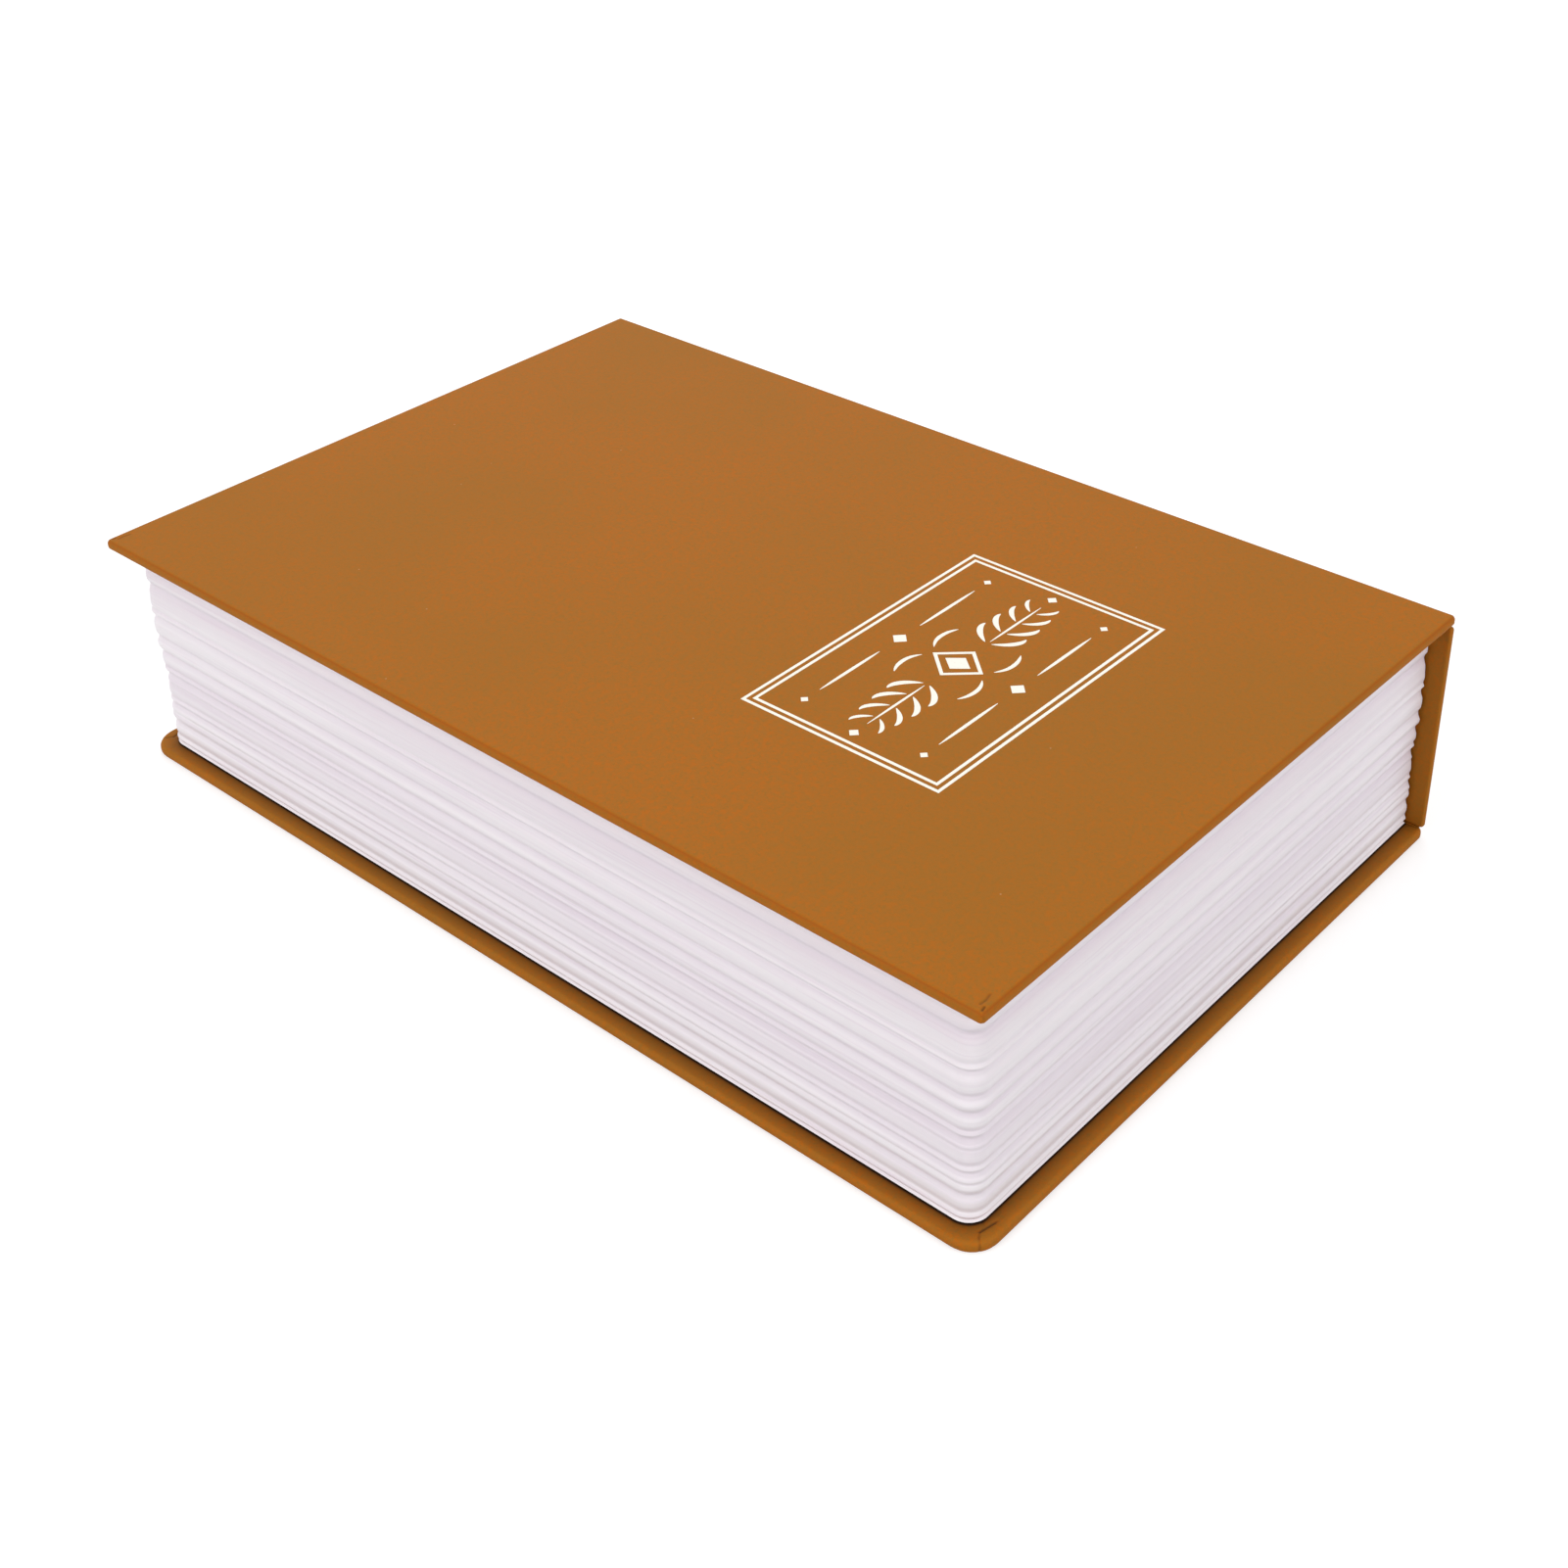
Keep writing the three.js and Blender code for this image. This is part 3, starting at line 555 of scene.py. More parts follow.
def plated(name, ground, low, high, brush, scratch):
    """Plated metal with faint brushing and cloudy gloss."""
    plating = Finish(name)
    strokes = plating.grain(900, detail=3, roughness=0.6, spread=brush)
    clouds = plating.grain(160, detail=3, roughness=0.6)
    metal = Vector(ground)
    plating.surface({
        "Base Color": plating.blend(clouds, metal * 0.82, metal * 1.08), "Metallic": 1,
        "Roughness": plating.scaled(clouds, low, high)})
    plating.bump(strokes, scratch, 0.4)
    return plating.material


def plain_steel(name):
    return plated(name, settings("finish").zinc, 0.28, 0.42, (0.15, 1, 1), 0.03 * MM)


def lock_plating(name):
    return plated(name, settings("finish").nickel, 0.12, 0.24, (1, 1, 0.1), 0.01 * MM)


FINISHES = {
    "cover_paper": cover_paper,
    "grey_board": grey_board,
    "lining_paper": lining_paper,
    "page_plastic": page_plastic,
    "box_paint": box_paint,
    "plain_steel": plain_steel,
    "lock_plating": lock_plating,
}


def finish_for(slot):
    """The material of one of the record's slots, made once."""
    name = "safe " + slot.replace("_", " ")
    return bpy.data.materials.get(name) or FINISHES[slot](name)


# Boards and paper

def distance_to_path(point, path):
    best = 1
    for start, end in zip(path, path[1:]):
        along = end - start
        share = (point - start).dot(along) / along.length_squared
        nearest = start + along * min(max(share, 0), 1)
        best = min(best, (point - nearest).length)
    return best


def corner_folds(half_width, thickness, radius, side, end):
    """The folds at one corner of a board that lies with its inner face up at Z 0: paths
    of points, each with a width and a share of the full depth."""
    def path(*points):
        return [
            Vector((side * (half_width - x * MM), end * (HALF_LENGTH - y * MM), -thickness * z))
            for x, y, z in points
        ]
    if radius > 3 * MM:
        return (
            (path((8.2, 2.2, 0), (5.9, 2.7, 0), (4.4, 3, 0)), 0.55, 0.8),
            (path((4.4, 3, 0), (3.2, 2.2, 0), (2.5, 1.5, 0.2), (2.2, 1.2, 0.6), (2.9, 2, 1)),
             0.4, 0.5),
            (path((2.6, 6.2, 0), (1.5, 6.9, 0), (0.5, 8.4, 0.1)), 0.4, 0.22),
            (path((1.5, 6.9, 0), (0.6, 6.6, 0.1), (0, 6.5, 0.6), (1, 6.7, 1)), 0.35, 0.2),
            (path((9, 9, 0), (5.9, 2.7, 0)), 0.5, 0.4),
        )
    return (
        (path((4.8, 2.2, 1), (3.3, 1.9, 1), (2, 2, 1)), 0.4, 0.4),
        (path((1.9, 1.1, 1), (1.1, 0.9, 0.98)), 0.35, 0.7),
        (path((1.1, 0.9, 0.98), (0.6, 0.3, 0.6), (0.9, 0.7, 0.05), (5.5, 5.5, 0)), 0.4, 0.4),
    )


def press_paper(bm, half_width, corners):
    """Presses the line along the border and the folds at the corners into the paper, and
    marks both for the material, which paints shade into them."""
    cover = settings("cover")
    line_width = 0.35 * MM
    corner_reach = 10 * MM
    line = bm.verts.layers.float.new("line")
    fold = bm.verts.layers.float.new("fold")
    bm.normal_update()
    moves = []
    for vert in bm.verts:
        from_side = half_width - abs(vert.co.x)
        from_end = HALF_LENGTH - abs(vert.co.y)
        if vert.normal.z < -0.3:
            away = abs(min(from_side, from_end) - cover.press_line) / line_width
            vert[line] = max(0, 1 - away)
        side = 1 if vert.co.x > 0 else -1
        end = 1 if vert.co.y > 0 else -1
        if from_side < corner_reach and from_end < corner_reach:
            for path, width, share in corners.get((side, end), ()):
                near = max(0, 1 - distance_to_path(vert.co, path) / (width * MM))
                vert[fold] = max(vert[fold], share * near * near * (3 - 2 * near))
        depth = max(cover.press_depth * vert[line], cover.fold_depth * vert[fold])
        moves.append((vert, vert.normal * -depth))
    for vert, step in moves:
        vert.co += step


def slab(width, thickness, edge, radii, inset=0):
    """A plate with its inner face up at Z 0 and rounded rims. Radii are those of its
    corners at -X and +X, and inset takes it in on all sides."""
    half = width / 2 - inset
    bm = bmesh.new()
    bmesh.ops.create_cube(bm, size=2)
    stretch(bm, (half, HALF_LENGTH - inset, thickness / 2 - inset))
    move(bm, (0, 0, -thickness / 2))
    for side, radius in zip((-1, 1), radii):
        uprights = [
            e for e in bm.edges if is_upright(e) and e.verts[0].co.x * side > half - TINY
        ]
        round_edges(bm, uprights, radius - inset, 10)
    round_edges(bm, [e for e in bm.edges if not is_upright(e)], edge - inset, 5)
    return bm


def panels():
    """The three boards: name, body, width, thickness, rim radius, corner radii, turn-in,
    the side where the corners are folded (0 for none), and its place in the book."""
    cover = settings("cover")
    width = BACK_HIGH.x - BACK_LOW.x
    thickness = BACK_HIGH.z - BACK_LOW.z
    return (
        ("back_cover", "safe_body", width, thickness, cover.edge_radius,
         (cover.back_spine_corner_radius, cover.back_corner_radius), cover.turn_in, 1,
         Matrix.Translation((0, 0, BACK_HIGH.z))),
        ("front_cover", "front_cover", width, thickness, cover.edge_radius,
         (cover.corner_radius, cover.corner_radius), cover.turn_in, -1,
         Matrix.Translation((0, 0, FRONT_LOW.z)) @ Matrix.Rotation(math.pi, 4, "Y")),
        ("spine", "spine", SPINE_HIGH.z - SPINE_LOW.z, SPINE_HIGH.x - SPINE_LOW.x,
         cover.spine_edge_radius, (cover.spine_corner_radius, cover.spine_corner_radius),
         cover.spine_turn_in, 0,
         Matrix.Translation((SPINE_HIGH.x, 0, (SPINE_LOW.z + SPINE_HIGH.z) / 2))
         @ Matrix.Rotation(math.pi / 2, 4, "Y")),
    )


def paper_wrap(width, thickness, edge, radii, turn_in, fore, place):
    """Paper folded round a board: a thin shell, open where the lining covers the board."""
    half = width / 2
    bm = slab(width, thickness, edge, radii)
    open_x = half - turn_in
    open_y = HALF_LENGTH - turn_in
    across, along = Vector((1, 0, 0)), Vector((0, 1, 0))
    for axis, reach, opening in ((across, half, open_x), (along, HALF_LENGTH, open_y)):
        places = [reach - line * MM for line in BORDER_LINES if line * MM < turn_in]
        places += [0, opening / 3, opening * 2 / 3, opening]
        for spot in sorted({sign * value for value in places for sign in (-1, 1)}):
            slice_at(bm, axis * spot, axis)
    window = [
        f for f in bm.faces
        if f.normal.z > 0.9 and abs(f.calc_center_median().x) < open_x
        and abs(f.calc_center_median().y) < open_y
    ]
    bmesh.ops.delete(bm, geom=window, context="FACES")
    corners = {}
    if fore:
        radius = radii[0] if fore < 0 else radii[1]
        for end in (-1, 1):
            corners[fore, end] = corner_folds(half, thickness, radius, fore, end)
    press_paper(bm, half, corners)
    bmesh.ops.solidify(bm, geom=bm.faces[:], thickness=settings("cover").paper)
    bmesh.ops.transform(bm, matrix=place, verts=bm.verts)
    return bm


class BOOKSAFE_OT_cover_wraps(bpy.types.Operator):
    """Folds the brown paper round the two cover boards and the spine board"""
    bl_idname = "book_safe.cover_wraps"
    bl_label = "Cover paper"

    def execute(self, context):
        for name, body, *sizes in panels():
            bm = paper_wrap(*sizes)
            if name == "back_cover":
                self.paint_seat_shade(bm)
            add_piece(name + "_paper", bm, body, "cover_paper", (name + "_wrap",), 50)
        return {"FINISHED"}

    def paint_seat_shade(self, bm):
        """Marks the paper that the page block stands on for painted shade, and fades it out beside
        the block: a soft painted shade, and a hard painted shadow line along the block's foot."""
        fold = bm.verts.layers.float["fold"]
        page = settings("page")
        line = 0.5 * MM
        fade = 3.2 * MM
        soft = 0.52
        hard = 0.48
        set_back = page.ridge_depth * RIDGES[0][1] - line - fade
        radius = page.corner_radius - set_back
        for vert in bm.verts:
            x = vert.co.x - (BLOCK_HIGH.x - set_back - radius)
            y = abs(vert.co.y) - (BLOCK_HIGH.y - set_back - radius)
            inward = radius - math.hypot(max(x, 0), max(y, 0)) - min(max(x, y), 0)
            if vert.co.z > BACK_HIGH.z - 0.5 * MM and inward > 0:
                shade = soft * min(1, inward / fade)
                shade += hard * min(1, max(0, inward - fade) / (0.6 * line))
                vert[fold] = max(vert[fold], shade)


class BOOKSAFE_OT_creases(bpy.types.Operator):
    """Closes the creases beside the spine with paper that bends as the book opens"""
    bl_idname = "book_safe.creases"
    bl_label = "Creases"

    def execute(self, context):
        cover = settings("cover")
        self.crease("upper_crease", ("spine", "front_cover"), SPINE_HIGH.z, 1,
                    cover.corner_radius)
        self.crease("lower_crease", ("safe_body", "spine"), SPINE_LOW.z, -1,
                    cover.back_spine_corner_radius)
        return {"FINISHED"}

    def crease(self, name, bodies, seam, up, radius):
        outside = SPINE_LOW.x
        inside = SPINE_HIGH.x - 0.05 * MM
        bm = bmesh.new()
        corners = [
            bm.verts.new((
                inside if depth is None else outside + depth * MM, -HALF_LENGTH,
                seam + up * rise * MM,
            ))
            for depth, rise in CREASE_SECTION
        ]
        end = bm.faces.new(corners)
        grown = bmesh.ops.extrude_face_region(bm, geom=[end], use_keep_orig=True)["geom"]
        bmesh.ops.translate(bm, vec=(0, 2 * HALF_LENGTH, 0), verts=only(BMVert, grown))
        # Its ends run from the spine's corner to the cover's
        least = settings("cover").spine_corner_radius + 0.1 * MM
        for vert in bm.verts:
            past = max(0, up * (vert.co.z - seam)) / CREASE_REACH
            vert.co.y -= math.copysign(least + (radius - least) * past ** 2, vert.co.y)
        face_out(bm)
        if bm.calc_volume(signed=True) < 0:
            bmesh.ops.reverse_faces(bm, faces=bm.faces)
        piece = add_piece(name, bm, None, "cover_paper", crisp=60)
        low_z, high_z = sorted((seam, seam + up * 0.3 * MM))
        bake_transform(piece, *bodies, start=(outside, 0, low_z), end=(outside, 0, high_z))


class BOOKSAFE_OT_boards(bpy.types.Operator):
    """Cuts the boards to the paper's corners, and dresses their linings"""
    bl_idname = "book_safe.boards"
    bl_label = "Boards and linings"

    def execute(self, context):
        inset = settings("cover").board_inset
        for name, body, width, thickness, edge, radii, _, _, place in panels():
            bm = slab(width, thickness, edge, radii, inset)
            bmesh.ops.transform(bm, matrix=place, verts=bm.verts)
            add_piece(name + "_board_cut", bm, body, "grey_board", (name + "_board",))
            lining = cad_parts[name + "_lining"].data
            lining.materials.clear()
            lining.materials.append(finish_for("lining_paper"))
        return {"FINISHED"}


# Title frame

def rectangle(width, height):
    bm = bmesh.new()
    bmesh.ops.create_grid(bm, x_segments=1, y_segments=1, size=0.5)
    stretch(bm, (width, height, 1))
    return bm


def lozenge(width, height):
    bm = bmesh.new()
    bmesh.ops.create_circle(bm, cap_ends=True, segments=4, radius=0.5)
    stretch(bm, (width, height, 1))
    return bm


def outline(bm, rule):
    """Leaves only a thin rule along the border of a flat shape."""
    inner = bm.faces[:]
    bmesh.ops.inset_region(
        bm, faces=inner, thickness=rule, use_boundary=True, use_even_offset=True)
    bmesh.ops.delete(bm, geom=inner, context="FACES")
    return bm


def stroke(points, thickness):
    """A flat pen stroke through (x, y, relative width) points, in mm, as a closed shell."""
    pen = 1 * MM
    curve = bpy.data.curves.new("stroke", "CURVE")
    curve.dimensions = "3D"
    curve.bevel_depth = pen / 2
    curve.bevel_resolution = 3
    curve.resolution_u = 10
    curve.use_fill_caps = True
    spline = curve.splines.new("NURBS")
    spline.points.add(len(points) - 1)
    for point, (x, y, radius) in zip(spline.points, points):
        point.co = (x * MM, y * MM, 0, 1)
        point.radius = radius
    spline.use_endpoint_u = True
    spline.order_u = 4
    carrier = bpy.data.objects.new("stroke", curve)
    mesh = bpy.data.meshes.new_from_object(carrier)
    bm = bmesh.new()
    bm.from_mesh(mesh)
    bpy.data.objects.remove(carrier)
    bpy.data.curves.remove(curve)
    bpy.data.meshes.remove(mesh)
    stretch(bm, (1, 1, thickness / pen))
    return bm


def raised(bm, thickness):
    """Gives a flat shape its thickness, downwards and upwards by half of it."""
    face_out(bm)
    bmesh.ops.solidify(bm, geom=bm.faces[:], thickness=thickness)
    low = min(vert.co.z for vert in bm.verts)
    move(bm, (0, 0, -low - thickness / 2))
    face_out(bm)
    return bm


class BOOKSAFE_OT_title(bpy.types.Operator):
    """Prints the frame of two thin rules with a plain ornament on the front cover"""
    bl_idname = "book_safe.title"
    bl_label = "Title frame"

    def execute(self, context):
        title = settings("title")
        thickness = 2 * title.ink
        bm = bmesh.new()
        for inset in (0, 2 * title.rule_pitch):
            frame_rule = rectangle(title.width - inset, title.height - inset)
            join(bm, raised(outline(frame_rule, title.rule), thickness))
        join(bm, self.ornament(thickness))
        move(bm, (0, title.centre_y, FRONT_HIGH.z - 0.4 * title.ink))
        add_piece("title_frame", bm, "front_cover", "cover_paper", finish=printed_ink())
        return {"FINISHED"}

    def ornament(self, thickness):
        bm = bmesh.new()
        for x, size in LEAVES:
            join(bm, stroke(
                ((x, 0.5, 0.3), (x + 1.2 * size, 2.6 * size, 1.1 * size),
                 (x + 3 * size, 4.6 * size, 1.7 * size), (x + 5 * size, 5.4 * size, 1.1 * size),
                 (x + 6.2 * size, 5 * size, 0.2)), thickness))
        for points in STROKES:
            join(bm, stroke(points, thickness))
        for flip in ((-1, 1, 1), (1, -1, 1)):
            copy = bmesh.new()
            join(copy, bm.copy())
            stretch(copy, flip)
            join(bm, copy)
        for side in (-1, 1):
            join(bm, stroke([(side * x, 0, radius) for x, radius in STEM], thickness))
        for x, y, size in LOZENGES:
            small = lozenge(size * MM, size * MM)
            move(small, (x * MM, y * MM, 0))
            join(bm, raised(small, thickness))
        rim = outline(lozenge(11 * MM, 12.5 * MM), 0.75 * MM)
        join(bm, raised(rim, thickness), raised(lozenge(5 * MM, 6.2 * MM), thickness))
        face_out(bm)
        return bm


# Page block

def ridge_tangent(place):
    """The slope of the ridge profile at one of its pairs: none on a crest or in a groove."""
    if place in (0, len(RIDGES) - 1):
        return 0
    before, here, after = RIDGES[place - 1:place + 2]
    low = (here[1] - before[1]) / (here[0] - before[0])
    high = (after[1] - here[1]) / (after[0] - here[0])
    if low * high <= 0:
        return 0
    return 2 * low * high / (low + high)


def ridge_share(rise):
    """The share of the ridge depth at a share of the block's height."""
    place = max(0, min(bisect(RIDGES, (rise, 0)), len(RIDGES) - 1) - 1)
    (low, before), (high, after) = RIDGES[place:place + 2]
    span = high - low
    t = (rise - low) / span
    bend = t * (1 - t)
    return (
        before + (after - before) * t * t * (3 - 2 * t)
        + span * bend * (ridge_tangent(place) * (1 - t) - ridge_tangent(place + 1) * t)
    )


def fading(rise, rate):
    """1 in the middle of the block's height, falling to 0 at its bottom and top."""
    return min(1, rise * rate, (1 - rise) * rate)


def page_levels():
    """(share of the height, depth) of every row on the ridges, from the bottom up."""
    page = settings("page")
    line_pitch = 0.9 * MM
    count = round(BLOCK_HEIGHT / page.level_pitch)
    rises = sorted({i / count for i in range(count + 1)} | {rise for rise, _ in RIDGES[:3]})
    levels = []
    for rise in rises:
        fine = noise.noise(Vector((0.5, 1.5, rise * BLOCK_HEIGHT / line_pitch)))
        line = page.line_depth * fine * fading(rise, 40)
        levels.append((rise, ridge_share(rise) * page.ridge_depth + line))
    return levels


def extrude_rows(bm, edges, step, count):
    """Draws a row of edges on by equal steps and returns the last row."""
    for _ in range(count):
        grown = bmesh.ops.extrude_edge_only(bm, edges=edges)["geom"]
        verts = only(BMVert, grown)
        edges = [edge for edge in only(BMEdge, grown) if all(v in verts for v in edge.verts)]
        bmesh.ops.translate(bm, vec=step, verts=verts)
    return edges


def turn_corner(bm, edges, centre):
    verts = list({vert for edge in edges for vert in edge.verts})
    return only(BMEdge, bmesh.ops.spin(
        bm, geom=verts + edges, cent=centre, axis=(0, 0, 1), angle=math.pi / 2, steps=12,
    )["geom_last"])


def page_skin(bm):
    """The ridged outside, drawn along the tail, round the fore-edge and back to the spine."""
    page = settings("page")
    arc_x = BLOCK_HIGH.x - page.corner_radius
    arc_y = BLOCK_HIGH.y - page.corner_radius
    groove = bm.verts.layers.float.new("groove")
    rows = []
    for rise, depth in page_levels():
        height = BLOCK_LOW.z + rise * BLOCK_HEIGHT
        vert = bm.verts.new((BLOCK_LOW.x, depth - BLOCK_HIGH.y, height))
        vert[groove] = depth / page.ridge_depth
        rows.append(vert)
    first = [bm.edges.new(pair) for pair in zip(rows, rows[1:])]

    along = arc_x - BLOCK_LOW.x
    count = round(along / page.step)
    side_count = round(2 * arc_y / page.step)
    edges = extrude_rows(bm, first, Vector((along / count, 0, 0)), count)
    edges = turn_corner(bm, edges, (arc_x, -arc_y, 0))
    edges = extrude_rows(bm, edges, Vector((0, 2 * arc_y / side_count, 0)), side_count)
    edges = turn_corner(bm, edges, (arc_x, arc_y, 0))
    last = extrude_rows(bm, edges, Vector((-along / count, 0, 0)), count)
    bmesh.ops.bridge_loops(bm, edges=first + last)


class BOOKSAFE_OT_page_block(bpy.types.Operator):
    """Moulds the block of false pages with its ridges, deck and opening"""
    bl_idname = "book_safe.page_block"
    bl_label = "Page block"

    def execute(self, context):
        margin = settings("page").ridge_depth + 0.5 * MM
        brim_from = 5 * MM
        brim_radius = 0.8 * MM
        bm = cad_copy("page_block")
        outer = [
            v for v in bm.verts
            if v.co.x < BLOCK_LOW.x + TINY or v.co.x > BLOCK_HIGH.x - margin
            or abs(v.co.y) > BLOCK_HIGH.y - margin or self.in_corner(v.co, margin)
        ]
        bmesh.ops.delete(bm, geom=outer, context="VERTS")
        page_skin(bm)
        self.sway(bm)
        ring_fill(bm, BLOCK_LOW.z)
        ring_fill(bm, BLOCK_HIGH.z)
        face_out(bm)
        brim = [
            e for e in bm.edges
            if lies_at(e, BLOCK_HIGH.z) and len(e.link_faces) == 2
            and e.calc_face_angle(0) > 1
            and max(abs(v.co.y) for v in e.verts) < BLOCK_HIGH.y - brim_from
            and BLOCK_LOW.x + brim_from < e.verts[0].co.x < BLOCK_HIGH.x - brim_from
        ]
        round_edges(bm, brim, brim_radius, 4)
        add_piece("page_block_moulded", bm, "safe_body", "page_plastic", ("page_block",), 40)
        return {"FINISHED"}

    def in_corner(self, point, margin):
        """Whether a point lies on the outside of a rounded fore corner."""
        radius = settings("page").corner_radius
        away = Vector((
            point.x - (BLOCK_HIGH.x - radius), abs(point.y) - (BLOCK_HIGH.y - radius),
        ))
        return away.x > 0 and away.y > 0 and away.length > radius - margin

    def sway(self, bm):
        """Lets the ridges wander a little, except at the block's bottom and top."""
        page = settings("page")
        reach = page.ridge_depth + 0.6 * MM
        waves = Vector((14, 14, 90))
        for vert in bm.verts:
            inside = (
                vert.co.x < BLOCK_HIGH.x - page.corner_radius
                and abs(vert.co.y) < BLOCK_HIGH.y - reach
            )
            rise = (vert.co.z - BLOCK_LOW.z) / BLOCK_HEIGHT
            if inside or rise < 0.001 or rise > 0.999:
                continue
            vert.co.z += page.sway * fading(rise, 12) * noise.noise(vert.co * waves)


# Steel parts

def softened(node, name, body, slot):
    """A CAD node's shape with its flat faces joined and its sharp edges rounded."""
    bm = cad_copy(node)
    bmesh.ops.dissolve_limit(
        bm, angle_limit=math.radians(0.5), verts=bm.verts, edges=bm.edges,
        use_dissolve_boundaries=False)
    sharp = [
        e for e in bm.edges
        if len(e.link_faces) == 2 and abs(e.calc_face_angle(0)) > math.radians(45)
    ]
    round_edges(bm, sharp, settings("metal").soft_edge, 2)
    keep_flat(add_piece(name, bm, body, slot, (node,), 60))


class BOOKSAFE_OT_steel_box(bpy.types.Operator):
    """Folds the steel box and its lid, with their hinge knuckles and the cam's slot"""
    bl_idname = "book_safe.steel_box"
    bl_label = "Steel box and lid"

    def execute(self, context):
        softened("steel_box", "steel_box_folded", "safe_body", "box_paint")
        softened("lid", "lid_pressed", "lid", "box_paint")
        return {"FINISHED"}


class BOOKSAFE_OT_hinge_rod(bpy.types.Operator):
    """Turns the rod that joins the knuckles of the box and the lid"""
    bl_idname = "book_safe.hinge_rod"
    bl_label = "Hinge rod"

    def execute(self, context):
        radius = (ROD_HIGH.x - ROD_LOW.x) / 2
        half = ROD_HIGH.y
        chamfer = 0.3 * MM
        brow = 0.08 * MM
        bm = spun((
            (0, -half), (radius - chamfer, -half), (radius - brow, 0.1 * MM - half),
            (radius, chamfer - half), (radius, half - chamfer),
            (radius - brow, half - 0.1 * MM), (radius - chamfer, half), (0, half),
        ), 28)
        turn(bm, Matrix.Rotation(math.pi / 2, 3, "X"))
        move(bm, (ROD_LOW + ROD_HIGH) / 2)
        add_piece("hinge_rod_turned", bm, "safe_body", "plain_steel", ("hinge_rod",))
        return {"FINISHED"}


class BOOKSAFE_OT_rivets(bpy.types.Operator):
    """Sets the six domed rivets that hold the box in the page block"""
    bl_idname = "book_safe.rivets"
    bl_label = "Rivets"

    def execute(self, context):
        for number in range(1, 7):
            name = "rivet_%d" % number
            low, high = extent(name)
            centre = (low + high) / 2
            size = high - low
            if size.x > size.y:
                inward = Vector((-1 if centre.x > 0 else 1, 0, 0))
            else:
                inward = Vector((0, -1 if centre.y > 0 else 1, 0))
            bm = self.rivet(max(size.x, size.y) / 2, size.z / 2)
            turn(bm, Vector((0, 0, 1)).rotation_difference(inward).to_matrix())
            move(bm, centre)
            add_piece(name + "_domed", bm, "safe_body", "plain_steel", (name,))
        return {"FINISHED"}

    def rivet(self, half, radius):
        """An upright rivet with its domed head up."""
        head = 1 * MM
        tail = 1.1 * MM
        tail_radius = radius * 0.87
        shank = radius * 0.53
        dome = [
            (radius * math.sin(angle), half - head + head * math.cos(angle))
            for angle in (math.pi / 2 * step / 6 for step in range(6, 0, -1))
        ]
        return spun([
            (0, -half), (tail_radius * 0.8, -half), (tail_radius, 0.35 * MM - half),
            (tail_radius, tail - half), (shank, tail - half), (shank, half - head),
            *dome, (0, half),
        ], 24)


# Lock

def pocket(bm, shape, height, depth, taper=1):
    """Sinks a pocket of a shape, given as (x, y) corners, into the open ring at a height."""
    corners = [bm.verts.new((x, y, height)) for x, y in shape]
    edges = [bm.edges.new(pair) for pair in zip(corners, corners[1:] + corners[:1])]
    ring_fill(bm, height)
    floor = only(BMVert, bmesh.ops.extrude_edge_only(bm, edges=edges)["geom"])
    bmesh.ops.translate(bm, vec=(0, 0, -depth), verts=floor)
    bmesh.ops.scale(bm, vec=(taper, taper, 1), verts=floor)
    rim = [e for e in bm.edges if e.is_boundary and all(v in floor for v in e.verts)]
    bmesh.ops.edgenet_fill(bm, edges=rim)
    face_out(bm)


class BOOKSAFE_OT_lock_housing(bpy.types.Operator):
    """Turns the lock's head and its threaded barrel with two flats"""
    bl_idname = "book_safe.lock_housing"
    bl_label = "Lock housing"

    def execute(self, context):
        head_radius = (LOCK_HIGH.x - LOCK_LOW.x) / 2
        top = LOCK_HIGH.z
        bottom = LID_TOP + 0.05 * MM
        bore = 4.65 * MM
        recess = 5.35 * MM
        shoulder = top - 1.25 * MM
        head = spun((
            (bore, bottom), (head_radius, bottom), (head_radius, top - 0.45 * MM),
            (head_radius - 0.12 * MM, top - 0.18 * MM), (head_radius - 0.45 * MM, top),
            (recess + 0.35 * MM, top), (recess + 0.1 * MM, top - 0.08 * MM),
            (recess, top - 0.3 * MM), (recess, shoulder), (bore, shoulder),
        ), 64, LOCK_X, closed=True)
        barrel = self.barrel(bore, LOCK_LOW.z, bottom + 0.3 * MM)
        add_piece("lock_housing_turned", join(head, barrel), "lid", "lock_plating",
                  ("lock_housing",), 40)
        return {"FINISHED"}

    def barrel(self, bore, low, high):
        radius = 6 * MM
        flat = 5.3 * MM
        pitch = settings("metal").thread_pitch
        root = radius - settings("metal").thread_depth
        profile = [(bore, low), (root - 0.2 * MM, low), (root, low + 0.2 * MM)]
        for number in range(int((high - low - 0.8 * MM) / pitch)):
            start = low + 0.3 * MM + number * pitch
            profile += [(root, start), (radius, start + 0.4 * pitch), (radius, start + 0.55 * pitch)]
        profile += [(root, high), (bore, high)]
        bm = spun(profile, 48, LOCK_X, closed=True)
        for side in (1, -1):
            flat_cut(bm, (0, side * flat, 0), (0, side, 0))
        face_out(bm)
        return bm


